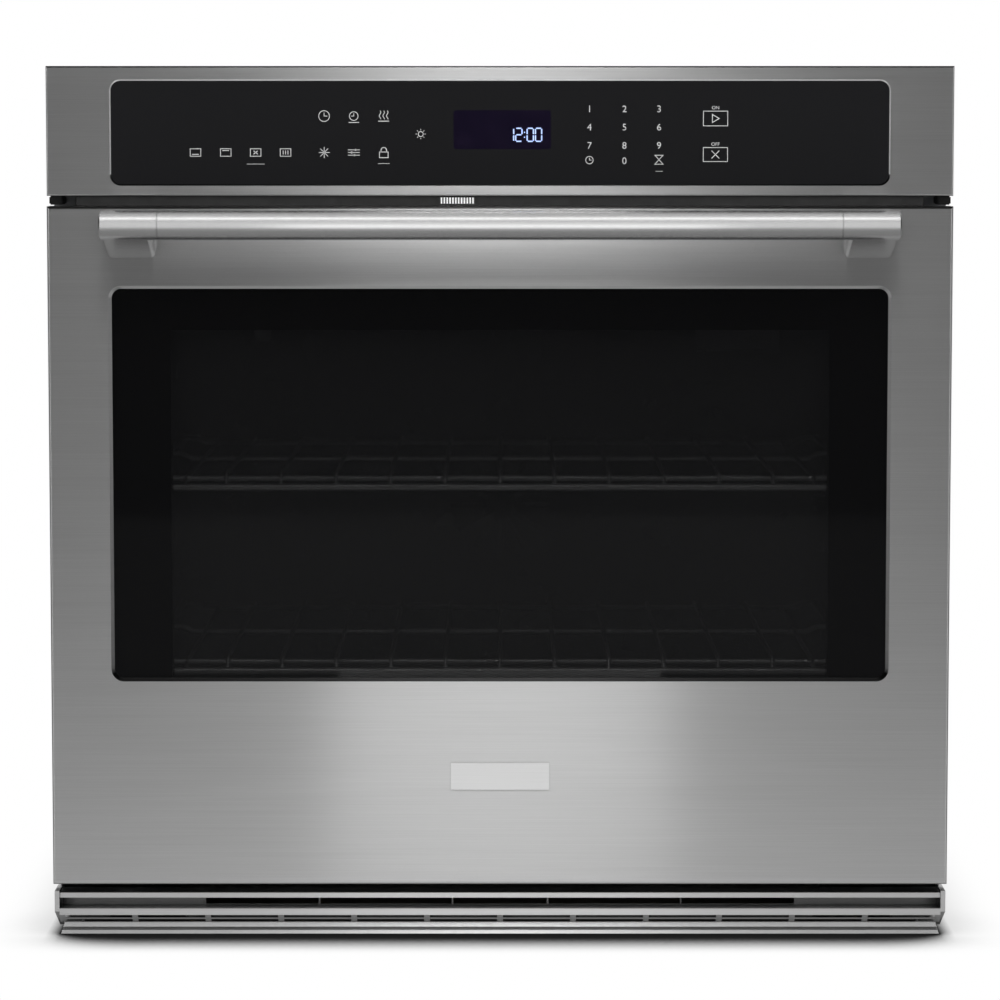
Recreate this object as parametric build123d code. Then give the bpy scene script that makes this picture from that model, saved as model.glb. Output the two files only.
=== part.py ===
from build123d import *
import math
import os

os.makedirs("parts", exist_ok=True)

# Frame: X to the right of someone facing the oven, +Y into the wall, Z up, millimetres.
# y = 0 is the face of the cabinet, z = 0 is the shelf that the oven stands on.

# Face of the oven, 30 inch class, from the bottom up.
face_width = 756.0
trim_height = 36.4
trim_gap = 8.0
door_height = 572.2
panel_gap = 8.6
fascia_height = 107.8
door_bottom = trim_height + trim_gap
door_top = door_bottom + door_height
fascia_bottom = door_top + panel_gap
face_top = fascia_bottom + fascia_height

# Sheets and clearances.
sheet = 1.2
frame_thickness = 1.5
skin_sheet = 1.0
touch = 0.3
running = 0.05

# Oven cavity and the chassis round it.
flange_cover = 19.5
side_gap = 47.5
sill = 67.6
head = 61.6
cavity_depth = 492.0
rear_space = 96.0
cavity_corner = 22.0
floor_dish = 4.0
floor_margin = 25.0
base_flange = 22.0
base_lead = 4.0
rear_lip = 14.0
chassis_width = face_width - 2 * flange_cover
chassis_depth = cavity_depth + rear_space
lining_width = chassis_width - 2 * sheet
cavity_width = chassis_width - 2 * side_gap
cavity_bottom = door_bottom + sill
cavity_top = door_top - head
cavity_height = cavity_top - cavity_bottom
cavity_mid = (cavity_bottom + cavity_top) / 2
cavity_rear = cavity_depth + sheet
frame_bottom = trim_height + 4.6
frame_foot = base_flange + 0.5
insulation_thickness = 32.0
wool_front = 45.0

# Angles for the cabinet screws.
rail_thickness = 1.5
rail_depth = 34.0
rail_margin = 80.0
rail_edge = 1.7
rail_screw_radius = 2.75
rail_screw_inset = 9.0
rail_screw_pitch = 410.0
rail_screw_low = 150.0
rail_tuck = 14.8
rail_low = rail_screw_low - rail_margin
rail_high = fascia_bottom + rail_tuck

# Shelf and electrics above the cavity.
shelf_gap = 45.0
compartment_height = 100.8
air_slot = 5.0
slot_start = 70.0
side_slots = 8
top_slots = 7
rear_slots = 8
board_lift = 10.0
board_inset = 47.3
board_setback = 120.0
board_length = 180.0
board_width = 140.0
relay_pitch = 19.0
shelf_z = cavity_top + shelf_gap
shelf_top = shelf_z + sheet
shelf_rear = chassis_depth - 48.0
chassis_height = shelf_top + compartment_height

# Rack guides pressed into the cavity sides.
guide_count = 6
guide_pitch = 53.0
guide_start = 59.0
guide_depth = 9.0
guide_height = 14.0
guide_nose = 6.0
guide_first = cavity_bottom + guide_start

# Planes of the door, from the frame outwards.
gasket_radius = 3.1
gasket_margin = 12.0
door_depth = 38.0
skin_depth = 25.0
skin_lip = 8.0
skin_edge = 2.5
door_slots = 10
liner_rear = -(frame_thickness + 2 * gasket_radius + touch)
door_front = liner_rear - door_depth
skin_rear = door_front + skin_depth
plateau_margin = 31.0
plateau_slope = 24.0

# Door window and its panes.
stile = 53.5
top_rail = 68.7
bottom_rail = 175.7
window_corner = 8.0
rim_width = 2.6
rim_depth = 3.4
outer_pane = 4.0
outer_overlap = 7.0
inner_pane = 4.0
pane_inset = 24.5
pane_below = 35.6
pane_drop = 18.4
pane_lip = 8.0
clear_inset = 23.0
clear_drop = 13.5
middle_gap = 7.6
window_width = face_width - 2 * stile
window_low = door_bottom + bottom_rail
window_high = door_top - top_rail
window_height = window_high - window_low
window_mid = (window_low + window_high) / 2
outer_rear = door_front + rim_depth + outer_pane
pane_width = window_width - 2 * pane_inset
pane_low = window_low - pane_below
pane_high = window_high - pane_drop
pane_height = pane_high - pane_low
pane_mid = (pane_low + pane_high) / 2
middle_pane_y = outer_rear + middle_gap

# Door hinges.
hinge_outset = 4.0
hinge_back = 16.0
hinge_rise = 21.6
pin_radius = 3.5
eye_radius = 7.5
arm_thickness = 4.0
arm_height = 11.0
arm_reach = 36.0
socket_wall = 6.7
channel_half_gap = 4.5
channel_wall = 2.0
channel_depth = 18.0
spring_radius = 4.0
hinge_x = cavity_width / 2 + hinge_outset
hinge_y = door_front + hinge_back
hinge_z = door_bottom + hinge_rise
channel_top = window_low - outer_overlap - 6.0

# Handle.
bar_radius = 12.2
bar_wall = 1.5
bar_chamfer = 1.2
bar_standoff = 47.0
bar_drop = 14.6
bracket_inset = 48.7
bracket_length = 47.7
spigot_length = 12.0
foot_height = 33.0
bar_y = door_front - bar_standoff
bar_z = door_top - bar_drop
bracket_outer = face_width / 2 - bracket_inset
bracket_inner = bracket_outer - bracket_length

# Control panel.
fascia_setback = 3.0
fascia_edge = 1.6
glass_side = 54.0
glass_below = 9.6
glass_above = 12.3
glass_corner = 8.0
glass_thickness = 4.0
glass_recess = 0.2
glass_fit = 0.25
glass_bevel = 1.1
display_left = -38.7
display_width = 81.1
display_rise = 29.25
display_height = 32.3
board_gap = 5.0
board_thickness = 1.6
carrier_depth = 17.0
fascia_front = door_front + fascia_setback
glass_width = face_width - 2 * glass_side
glass_low = fascia_bottom + glass_below
glass_high = face_top - glass_above
glass_height = glass_high - glass_low
glass_mid = (glass_low + glass_high) / 2
glass_rear = fascia_front + glass_recess + glass_thickness
board_y = glass_rear + board_gap

# Racks.
rail_gap = 7.0
rail_radius = 3.0
rod_radius = 2.5
wire_radius = 2.0
front_bar_radius = 3.2
wire_sides = 6
wire_count = 11
rod_places = (0, 0.53, 1)
rod_step = 14.0
rod_slope = 9.5
bar_inset = 24.0
side_inset = 34.0
rack_front = 44.0
rack_rear_gap = 15.0
rail_lift = 4.5
front_bar_drop = 6.8
front_bar_lead = 11.0
upper_guide = 4
lower_guide = 1
baffle_depth = 35.0
rail_x = cavity_width / 2 - rail_gap
wire_pitch = 2 * (rail_x - side_inset) / (wire_count + 0.5)
rack_rear = cavity_depth - baffle_depth - rack_rear_gap

# Heaters.
element_radius = 3.3
element_bend = 28.0
element_tail = 24.0
bend_steps = 3
bake_inset = 76.0
broil_inset = 51.0
broil_drop = 20.0
broil_end = 30.0
fold_x = 95.0
fold_front = 75.0
fold_rear = 87.0
bake_z = cavity_bottom - sheet - floor_dish - 1.0 - element_radius
broil_z = cavity_top - broil_drop

# Convection fan in the back wall.
fan_drop = 13.5
fan_radius = 66.0
fan_gap = 9.0
fan_blades = 8
inlet_slots = 12
blade_depth = 18.0
shaft_radius = 3.0
hub_sides = 12
hub_height = 14.0
loop_half = 92.0
loop_end = 14.0
motor_leg = 34.0
motor_depth = 40.0
motor_half = 33.0
motor_plate = 44.0
pad_depth = 28.0
fan_z = cavity_mid - fan_drop
motor_rear = cavity_rear + motor_leg + motor_depth

# Lamp and probe.
lamp_inset = 81.0
lamp_drop = 65.0
lamp_half_width = 40.0
lamp_half_height = 24.0
lamp_depth = 46.0
lens_depth = 12.0
lens_wall = 4.0
bulb_radius = 6.0
bulb_length = 26.0
probe_radius = 2.4
probe_length = 92.0
probe_plate = 14.0
lamp_x = cavity_width / 2 - lamp_inset
lamp_z = cavity_top - lamp_drop

# Flue.
flue_radius = 16.0
flue_sides = 12
flue_x = 150.0
flue_y = 150.0

# Cooling blower.
blower_x = 40.0
wheel_radius = 74.0
scroll_gap = 14.0
scroll_height = 46.0
scroll_sides = 24
wheel_blades = 16
blower_y = shelf_rear - 120.0
scroll_top = shelf_top + scroll_height
blower_motor_top = chassis_height - sheet - 13.0

# Latch.
latch_x = 0.0
latch_y = 28.0
latch_post_radius = 4.0
latch_plate = 3.0
latch_motor_radius = 22.0
latch_rise = 4.8
hook_width = 4.0
hook_z = shelf_top + latch_rise

# Ribbed insert in the gap over the door.
comb_middle = -36.0
comb_length = 29.0
comb_teeth = 12
comb_height = 5.2
comb_rise = 1.5
comb_depth = 6.5

# Lower vent trim.
cap_thickness = 4.0
cap_inset = 0.8
cap_rise = 1.8
cap_nose = 20.6
cap_foot = 1.4
trim_setback = 3.0
trim_back = -14.0
lip_setback = 2.0
lip_height = 4.2
shelf_back = 21.4
shelf_front = 23.1
outlet_margin = 126.4
outlet_ribs = (40.6, 154.1)
outlet_rib = 1.2
band_low = 18.3
sill_setback = 9.0
sill_height = 10.2
sill_lean = 0.3
sill_slant = 3.7
groove_low = 3.0
groove_high = 6.1
groove_depth = 2.0
slot_count = 12
slot_margin = 2.0
slot_rib = 5.0
slot_bar = (13.1, 14.9)
liner_lead = 6.0
liner_half = 266.0
tab_span = (331.6, 364.6)
trim_half = face_width / 2 - cap_thickness - cap_inset
trim_front = door_front + trim_setback
outlet_half = face_width / 2 - outlet_margin
slot_pitch = 2 * (trim_half - slot_margin) / slot_count

# Supply.
conduit_radius = 11.1
conduit_inset = 122.3
conduit_rise = 53.8
conduit_x = lining_width / 2 - conduit_inset
conduit_z = shelf_top + conduit_rise


def block(x0, x1, y0, y1, z0, z1):
    middle = Pos((x0 + x1) / 2, (y0 + y1) / 2, (z0 + z1) / 2)
    return middle * Box(x1 - x0, y1 - y0, z1 - z0)


def rod_x(radius, x0, x1, y, z):
    return Pos((x0 + x1) / 2, y, z) * Rot(0, 90, 0) * Cylinder(radius, x1 - x0)


def rod_y(radius, x, y0, y1, z):
    return Pos(x, (y0 + y1) / 2, z) * Rot(90, 0, 0) * Cylinder(radius, y1 - y0)


def rod_z(radius, x, y, z0, z1):
    return Pos(x, y, (z0 + z1) / 2) * Cylinder(radius, z1 - z0)


def many_sided(radius, sides, x, y, z0, z1):
    return extrude(Plane((x, y, z0)) * RegularPolygon(radius, sides), amount=z1 - z0)


def many_sided_y(radius, sides, x, y0, y1, z):
    plane = Plane((x, y0, z), x_dir=(1, 0, 0), z_dir=(0, 1, 0))
    return extrude(plane * RegularPolygon(radius, sides), amount=y1 - y0)


def slab(width, height, corner, z_mid, y0, y1, taper=0.0):
    # Upright plate with round corners, from y0 back to y1.
    plane = Plane((0, y0, z_mid), x_dir=(1, 0, 0), z_dir=(0, 1, 0))
    return extrude(plane * RectangleRounded(width, height, corner), amount=y1 - y0, taper=taper)


def along_x(points, x0, x1):
    outline = Polyline(*[(x0, y, z) for y, z in points], close=True)
    return extrude(make_face(outline), amount=x1 - x0, dir=(1, 0, 0))


def along_y(points, y0, y1):
    outline = Polyline(*[(x, y0, z) for x, z in points], close=True)
    return extrude(make_face(outline), amount=y1 - y0, dir=(0, 1, 0))


def along_z(points, z0, z1):
    outline = Polyline(*[(x, y, z0) for x, y in points], close=True)
    return extrude(make_face(outline), amount=z1 - z0, dir=(0, 0, 1))


def folded_sheet(points, x0, x1):
    # Sheet folded along the points, lying to the right of the way along them.
    outline = offset(Polyline(*points), sheet, kind=Kind.INTERSECTION, side=Side.RIGHT)
    return extrude(Plane.YZ.offset(x0) * make_face(outline), amount=x1 - x0)


def wire(radius, points):
    # Wire with sharp bends; six flats on its section keep the facets few.
    path = Polyline(*points)
    section = Plane(path @ 0, z_dir=path % 0) * RegularPolygon(radius, wire_sides)
    return sweep(section, path, transition=Transition.RIGHT)


def heater_rod(points, bends):
    # Sheathed rod, each bend made of a few short straights.
    path = FilletPolyline(*points, radius=bends)
    line = [path @ 0]
    for edge in path.edges():
        steps = bend_steps if edge.geom_type == GeomType.CIRCLE else 1
        line += [edge @ (k / steps) for k in range(1, steps + 1)]
    return wire(element_radius, line)


def other_side(shape):
    return mirror(shape, about=Plane.YZ)


def both_sides(shape):
    return Compound([other_side(shape), shape])


def base_pan():
    # Folded floor tray, open at the front for the air that leaves through the trim.
    half = lining_width / 2
    rear = chassis_depth - sheet
    tray = block(-half, half, -base_lead, rear, 0, base_flange)
    tray -= block(sheet - half, half - sheet, -base_lead - 1, rear - sheet, sheet, base_flange + 1)
    return tray


def side_panel():
    # Right-hand outer side with a row of air slots and a rear lip.
    outer = chassis_width / 2
    rear = chassis_depth - sheet
    panel = block(outer - sheet, outer, 0, rear, 0, chassis_height)
    panel += block(outer - rear_lip, outer, rear - sheet, rear, base_flange + 1, chassis_height - 2 * sheet)
    pitch = (chassis_depth - 2 * slot_start) / side_slots
    low = shelf_top + 0.36 * compartment_height
    for k in range(side_slots):
        y0 = slot_start + pitch * k
        panel -= block(outer - 5, outer + 1, y0, y0 + 0.64 * pitch, low, low + air_slot)
    return panel


def top_cover():
    # Lid of the chassis, lipped down behind the front frame.
    half = lining_width / 2
    high = chassis_height
    lid = block(-half, half, 0, chassis_depth - sheet, high - sheet, high)
    lid += block(-half, half, 0, sheet, high - rear_lip, high)
    pitch = 0.63 * lining_width / top_slots
    for k in range(top_slots):
        x0 = (k - top_slots / 2) * pitch
        for y0 in (slot_start, slot_start + 2.8 * air_slot):
            lid -= block(x0, x0 + 0.69 * pitch, y0, y0 + air_slot, high - 5, high + 1)
    return lid


def rear_cover():
    # Back sheet with air slots and the knock-out for the power conduit.
    half = chassis_width / 2
    front = chassis_depth - sheet
    cover = block(-half, half, front, chassis_depth, 0, chassis_height)
    left = rear_lip * 4 - half
    pitch = (conduit_x - 4 * conduit_radius - left) / rear_slots
    for row in (0.62, 0.74):
        low = shelf_top + row * compartment_height
        for k in range(rear_slots):
            x0 = left + pitch * k
            cover -= block(x0, x0 + 0.7 * pitch, front - 1, chassis_depth + 1, low, low + air_slot)
    cover -= rod_y(conduit_radius, conduit_x, front - 1, chassis_depth + 1, conduit_z)
    return cover


def front_frame():
    # Plate round the cavity mouth that everything at the front is screwed to.
    half = lining_width / 2
    plate = block(-half, half, -frame_thickness, 0, frame_bottom, face_top - sheet - touch)
    plate -= slab(cavity_width, cavity_height, cavity_corner, cavity_mid, -5, 5)
    tall = eye_radius + 2.5
    wide = arm_thickness / 2 + 4
    for x in (-hinge_x, hinge_x):
        plate -= block(x - wide, x + wide, -5, 5, hinge_z - tall, hinge_z + tall)
    plate -= latch_way(-5, 5)
    return plate


def frame_feet():
    # Closing plates that fill in below the frame at each side, down to the flange of the base pan.
    edge = face_width / 2 - rail_edge
    foot = block(outlet_half + base_flange, edge, -frame_thickness, 0, frame_foot, rail_low - touch)
    foot -= block(0, lining_width / 2 + touch, -5, 5, frame_bottom - touch, rail_low)
    return both_sides(foot)


def latch_way(y0, y1):
    # Opening in frame and door that the latch hook reaches through.
    return block(latch_x - hook_width - 3, latch_x + 22, y0, y1, hook_z - 2, hook_z + latch_plate + 2)


def mount_rail():
    # Right-hand angle that the cabinet screws go through.
    side = chassis_width / 2
    rail = block(side, side + rail_thickness, 0, rail_depth, rail_low, rail_high)
    rail += block(side, face_width / 2 - rail_edge, -frame_thickness, 0, rail_low, rail_high)
    for z in (rail_screw_low, rail_screw_low + rail_screw_pitch):
        rail -= rod_y(rail_screw_radius, face_width / 2 - rail_screw_inset, -5, 5, z)
    return rail


def cavity_wrap():
    # Enamelled sides and ceiling in one sheet, with the rack guides pressed into the sides.
    half = cavity_width / 2
    outer = Rectangle(cavity_width + 2 * sheet, cavity_height + sheet)
    outer = fillet(outer.vertices().group_by(Axis.Y)[-1], cavity_corner + sheet)
    inner = Rectangle(cavity_width, cavity_height)
    inner = fillet(inner.vertices().group_by(Axis.Y)[-1], cavity_corner)
    up = Plane((0, 0, 0), x_dir=(1, 0, 0), z_dir=(0, -1, 0))
    wrap = extrude(up * Pos(0, cavity_mid + sheet / 2) * outer, amount=-cavity_depth)
    wrap -= extrude(up * Pos(0, cavity_mid) * inner, amount=-cavity_depth)
    slope = (guide_height - guide_nose) / guide_depth
    lift = sheet * math.sqrt(1 + slope * slope)
    back = half + sheet + 1
    nose = half - guide_depth + sheet
    for k in range(guide_count):
        z = guide_first + guide_pitch * k
        low = z - guide_height
        rib = [(half, low), (half, z), (half - guide_depth, z), (half - guide_depth, z - guide_nose)]
        hollow = [
            (back, low - slope * (back - half) + lift),
            (back, z - sheet),
            (nose, z - sheet),
            (nose, low + slope * (half - nose) + lift),
        ]
        bar = along_y(rib, 0, cavity_depth)
        groove = along_y(hollow, -1, cavity_depth + 1)
        wrap += bar
        wrap += other_side(bar)
        wrap -= groove
        wrap -= other_side(groove)
    return wrap - many_sided(flue_radius - sheet, flue_sides, flue_x, flue_y, cavity_top - 5, cavity_top + 5)


def cavity_floor():
    # Enamelled floor with a shallow dish; the bake element is hidden below it.
    half = cavity_width / 2 + sheet
    plate = block(-half, half, 0, cavity_depth, cavity_bottom - sheet, cavity_bottom)
    dish = Plane((0, cavity_depth / 2, cavity_bottom), z_dir=(0, 0, -1))
    wide = cavity_width - 2 * floor_margin
    deep = cavity_depth - 2 * floor_margin
    plate += extrude(dish * RectangleRounded(wide, deep, 18), amount=floor_dish + sheet, taper=20)
    inside = RectangleRounded(wide - 2 * sheet, deep - 2 * sheet, 18 - sheet)
    return plate - extrude(dish * inside, amount=floor_dish, taper=20)


def cavity_back():
    # Enamelled back wall with the holes for the fan shaft, lamp, probe and element ends.
    half = cavity_width / 2 + sheet
    y0 = cavity_depth - 1
    y1 = cavity_rear + 1
    wall = block(-half, half, cavity_depth, cavity_rear, cavity_bottom - sheet, cavity_top + sheet)
    wall -= many_sided_y(4 * shaft_radius, hub_sides, 0, y0, y1, fan_z)
    wall -= lamp_box(0, y0, y1)
    wall -= many_sided_y(probe_radius + touch, hub_sides, -lamp_x, y0, y1, lamp_z)
    for side in (-1, 1):
        wall -= many_sided_y(element_radius + touch, hub_sides, side * broil_end, y0, y1, broil_z)
        wall -= many_sided_y(element_radius + touch, hub_sides, side * loop_end, y0, y1, fan_z + loop_half)
    return wall


def lamp_box(margin, y0, y1):
    wide = lamp_half_width + margin
    tall = lamp_half_height + margin
    return block(lamp_x - wide, lamp_x + wide, y0, y1, lamp_z - tall, lamp_z + tall)


def door_gasket():
    # Braided tube that the door closes on, seated on the front frame.
    y = -frame_thickness - gasket_radius
    plane = Plane((0, y, cavity_mid), x_dir=(1, 0, 0), z_dir=(0, 1, 0))
    wide = cavity_width + 2 * gasket_margin
    tall = cavity_height + 2 * gasket_margin
    path = (plane * RectangleRounded(wide, tall, cavity_corner + gasket_margin)).wire()
    start = Plane(path @ 0, x_dir=(0, 1, 0), z_dir=path % 0)
    return sweep(start * RegularPolygon(gasket_radius, wire_sides), path)


def insulation_wrap():
    # Glass-wool blanket round the cavity.
    half = cavity_width / 2 + sheet + touch
    low = bake_z - element_radius - touch
    high = cavity_top + sheet + touch
    thick = insulation_thickness
    wool = block(-half - thick, half + thick, wool_front, cavity_depth - 8, low - thick, high + thick)
    wool -= block(-half, half, wool_front - 5, cavity_depth, low, high)
    return wool - many_sided(flue_radius + touch, flue_sides, flue_x, flue_y, high - 5, high + thick + 5)


def insulation_back():
    # Glass-wool pad behind the back wall, cut out round the motor, lamp and element ends.
    half = cavity_width / 2 - 10
    rear = cavity_rear + pad_depth
    y0 = cavity_rear - 1
    y1 = rear + 1
    pad = block(-half, half, cavity_rear, rear, cavity_bottom + 8, cavity_top - 6)
    room = motor_plate + 9
    pad -= block(-room, room, y0, y1, fan_z - room, fan_z + loop_half + 12)
    pad -= lamp_box(6, y0, y1)
    pad -= block(-lamp_x - 12, -lamp_x + 12, y0, y1, lamp_z - 12, lamp_z + 12)
    return pad - block(-2 * broil_end, 2 * broil_end, y0, y1, broil_z - 8, cavity_top)


def folded_heater(half_width, front, rear, z):
    # Sheathed heater bent into a W, both ends out through the back.
    end = cavity_depth + element_tail
    half = [
        (broil_end, end, z),
        (broil_end, rear, z),
        (half_width, rear, z),
        (half_width, front, z),
        (fold_x, front, z),
        (fold_x, rear - fold_rear, z),
    ]
    points = [(-x, y, h) for x, y, h in half] + half[::-1]
    return heater_rod(points, element_bend)


def bake_element():
    # Heater under the cavity floor, lying on the wool.
    return folded_heater(cavity_width / 2 - bake_inset, fold_front, cavity_depth - fold_rear, bake_z)


def broil_element():
    # Heater under the ceiling on two hangers.
    heater = folded_heater(cavity_width / 2 - broil_inset, fold_front, cavity_depth - fold_rear, broil_z)
    middle = 0.4 * cavity_depth
    for x in (-fold_x, fold_x):
        heater += block(x - 6, x + 6, middle - sheet / 2, middle + sheet / 2, broil_z, cavity_top)
    return heater


def convection_element():
    # Heater loop round the convection fan.
    y0 = cavity_depth - 14
    y1 = cavity_depth + element_tail
    h = loop_half
    points = [
        (-loop_end, y1, fan_z + h),
        (-loop_end, y0, fan_z + h),
        (-h, y0, fan_z + h),
        (-h, y0, fan_z - h),
        (h, y0, fan_z - h),
        (h, y0, fan_z + h),
        (loop_end, y0, fan_z + h),
        (loop_end, y1, fan_z + h),
    ]
    wide = 0.54 * loop_half
    return heater_rod(points, [10, wide, wide, wide, wide, 10])


def convection_baffle():
    # Cover over the fan: air goes in through a ring of slots and out at both sides.
    front = cavity_depth - baffle_depth
    half = loop_half + 33
    size = 2 * half
    cover = slab(size, size, 30, fan_z, front, cavity_depth)
    cover -= slab(size - 2 * sheet, size - 2 * sheet, 30 - sheet, fan_z, front + sheet, cavity_depth + 1)
    cover -= block(-size, size, front + 14, cavity_depth + 1, fan_z - half + 40, fan_z + half - 40)
    for k in range(inlet_slots):
        slot = block(0.2 * fan_radius, 0.72 * fan_radius, front - 1, front + 5, -air_slot / 2, air_slot / 2)
        cover -= Pos(0, 0, fan_z) * Rot(0, 360 / inlet_slots * k, 0) * slot
    return cover


def convection_fan():
    # Stamped fan wheel on its motor shaft.
    rear = cavity_depth - fan_gap
    front = rear - blade_depth
    wheel = many_sided_y(fan_radius, 3 * fan_blades, 0, rear - sheet, rear, fan_z)
    for k in range(fan_blades):
        blade = block(fan_radius / 3, fan_radius - 2, front, rear - sheet / 2, -sheet / 2, sheet / 2)
        wheel += Pos(0, 0, fan_z) * Rot(0, 360 / fan_blades * k, 0) * blade
    wheel += many_sided_y(3 * shaft_radius, hub_sides, 0, rear - 12, rear + 4, fan_z)
    wheel += rod_y(shaft_radius, 0, front, motor_rear - motor_depth / 2, fan_z)
    return wheel


def convection_motor():
    # Motor behind the back wall on four legs.
    plate_y = cavity_rear + motor_leg
    size = motor_plate
    motor = block(-size, size, plate_y, plate_y + 1.6, fan_z - size, fan_z + size)
    for x in (-size + 4, size - 4):
        for z in (fan_z - size + 4, fan_z + size - 4):
            motor += block(x - 4, x + 4, cavity_rear, plate_y + 1, z - 4, z + 4)
    motor += block(-motor_half, motor_half, plate_y + 1, motor_rear, fan_z - motor_half, fan_z + motor_half)
    motor += many_sided_y(3.5 * shaft_radius, hub_sides, 0, plate_y - 8, plate_y + 1, fan_z)
    motor -= rod_y(shaft_radius + running, 0, plate_y - 10, motor_rear - motor_depth / 2 + 1, fan_z)
    return motor


def lamp_housing():
    # Sheet box with the lamp socket, screwed behind the back wall.
    rear = cavity_rear + lamp_depth
    box = lamp_box(sheet, cavity_rear, rear)
    box -= lamp_box(0, cavity_rear - 1, rear - sheet)
    box += many_sided_y(2 * bulb_radius, hub_sides, lamp_x, rear - 13, rear - sheet / 2, lamp_z)
    return box


def lamp_bulb():
    # Halogen capsule standing on the socket.
    socket = cavity_rear + lamp_depth - 13
    return many_sided_y(bulb_radius, hub_sides, lamp_x, socket - bulb_length, socket, lamp_z)


def lamp_lens():
    # Pressed glass cover over the lamp, seated on the cavity side of the back wall.
    front = cavity_depth - lens_depth
    glass = lamp_box(lens_wall, front, cavity_depth)
    glass = chamfer(glass.faces().sort_by(Axis.Y)[0].edges(), lens_wall)
    return glass - lamp_box(0, front + lens_wall, cavity_depth + 1)


def temperature_probe():
    # Resistance probe through the back wall.
    x = -lamp_x
    rod = many_sided_y(probe_radius, wire_sides, x, cavity_depth - probe_length, cavity_depth + 12, lamp_z)
    tall = probe_plate
    return rod + block(x - 8, x + 8, cavity_depth - 1.5, cavity_depth, lamp_z - tall, lamp_z + tall)


def flue_tube():
    # Short pipe that lets the cooking vapour up into the cooling air.
    low = cavity_top + sheet
    tube = many_sided(flue_radius, flue_sides, flue_x, flue_y, low, shelf_top + 6)
    return tube - many_sided(flue_radius - sheet, flue_sides, flue_x, flue_y, low - 1, shelf_top + 7)


def air_deflector():
    # Shelf over the wool that carries the electrics and keeps their air apart.
    half = lining_width / 2
    shelf = block(-half, half, 0, shelf_rear, shelf_z, shelf_top + 12)
    shelf -= block(sheet - half, half - sheet, -1, shelf_rear + 1, shelf_top, shelf_top + 13)
    return shelf - many_sided(flue_radius + touch, flue_sides, flue_x, flue_y, shelf_z - 5, shelf_top + 5)


def cooling_scroll():
    # Blower casing: draws from above and blows down the back.
    r = wheel_radius + scroll_gap
    low = shelf_top
    case = many_sided(r, scroll_sides, blower_x, blower_y, low, scroll_top)
    case += block(blower_x, blower_x + r, blower_y, shelf_rear, low, scroll_top)
    case -= many_sided(r - sheet, scroll_sides, blower_x, blower_y, low - 1, scroll_top - sheet)
    left = blower_x + sheet
    case -= block(left, blower_x + r - sheet, blower_y, shelf_rear + 1, low - 1, scroll_top - sheet)
    inlet = wheel_radius * 0.78
    return case - many_sided(inlet, scroll_sides, blower_x, blower_y, scroll_top - 5, scroll_top + 5)


def cooling_motor():
    # Blower motor on a three-armed spider over the inlet.
    low = scroll_top
    motor = many_sided(0.4 * wheel_radius, scroll_sides, blower_x, blower_y, low + 7, blower_motor_top)
    for k in range(3):
        arm = block(0, wheel_radius, -6, 6, low + 6, low + 8)
        arm += block(wheel_radius - 8, wheel_radius, -6, 6, low, low + 8)
        motor += Pos(blower_x, blower_y, 0) * Rot(0, 0, 90 + 120 * k) * arm
    return motor - rod_z(shaft_radius + running, blower_x, blower_y, low, blower_motor_top - 9)


def cooling_wheel():
    # Squirrel-cage wheel on the blower motor shaft.
    low = shelf_top + 5
    high = scroll_top - 6
    ring_width = 13.0
    sides = wheel_blades
    wheel = many_sided(wheel_radius, sides, blower_x, blower_y, low, low + sheet)
    ring = many_sided(wheel_radius, sides, blower_x, blower_y, high - sheet, high)
    wheel += ring - many_sided(wheel_radius - ring_width, sides, blower_x, blower_y, high - 2, high + 1)
    for k in range(wheel_blades):
        blade = block(wheel_radius - ring_width + 1.5, wheel_radius - 0.5, -0.6, 0.6, low, high)
        wheel += Pos(blower_x, blower_y, 0) * Rot(0, 0, 360 / wheel_blades * k) * blade
    wheel += many_sided(3 * shaft_radius, hub_sides, blower_x, blower_y, low, low + hub_height)
    return wheel + rod_z(shaft_radius, blower_x, blower_y, low, blower_motor_top - 10)


def power_board():
    # Relay board on four stand-offs.
    low = shelf_top + board_lift
    x0 = board_inset - lining_width / 2
    x1 = x0 + board_length
    y0 = board_setback
    y1 = y0 + board_width
    board = block(x0, x1, y0, y1, low, low + board_thickness)
    for x in (x0 + 8, x1 - 8):
        for y in (y0 + 8, y1 - 8):
            board += block(x - 3, x + 3, y - 3, y + 3, shelf_top, low + 1)
    board += block(x0 + 20, x0 + 70, y0 + 30, y0 + 85, low + 1, low + 36)
    for k in range(5):
        x = x0 + 82 + relay_pitch * k
        for y in (y0 + 30, y0 + 76):
            board += block(x, x + 0.8 * relay_pitch, y, y + 28, low + 1, low + 18)
    return board


def terminal_block():
    # Three-pole block where the supply wires land.
    x0 = conduit_x - 36
    y0 = shelf_rear - 70
    y1 = y0 + 36
    body = block(x0, x0 + 72, y0, y1, shelf_top, shelf_top + 22)
    for k in range(3):
        cell = x0 + 4 + 22.5 * k
        body -= block(cell, cell + 19, y0 + 5, y1 - 5, shelf_top + 12, shelf_top + 30)
        body += block(cell + 5.5, cell + 13.5, y0 + 14, y1 - 14, shelf_top + 11, shelf_top + 16)
    return body


def thermal_cutoff():
    # Safety thermostat on the shelf.
    x = blower_x - 110
    y = blower_y - 100
    body = many_sided(8, hub_sides, x, y, shelf_top, shelf_top + 9)
    return body + block(x - 12, x + 12, y - 5, y + 5, shelf_top, shelf_top + 1.5)


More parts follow.
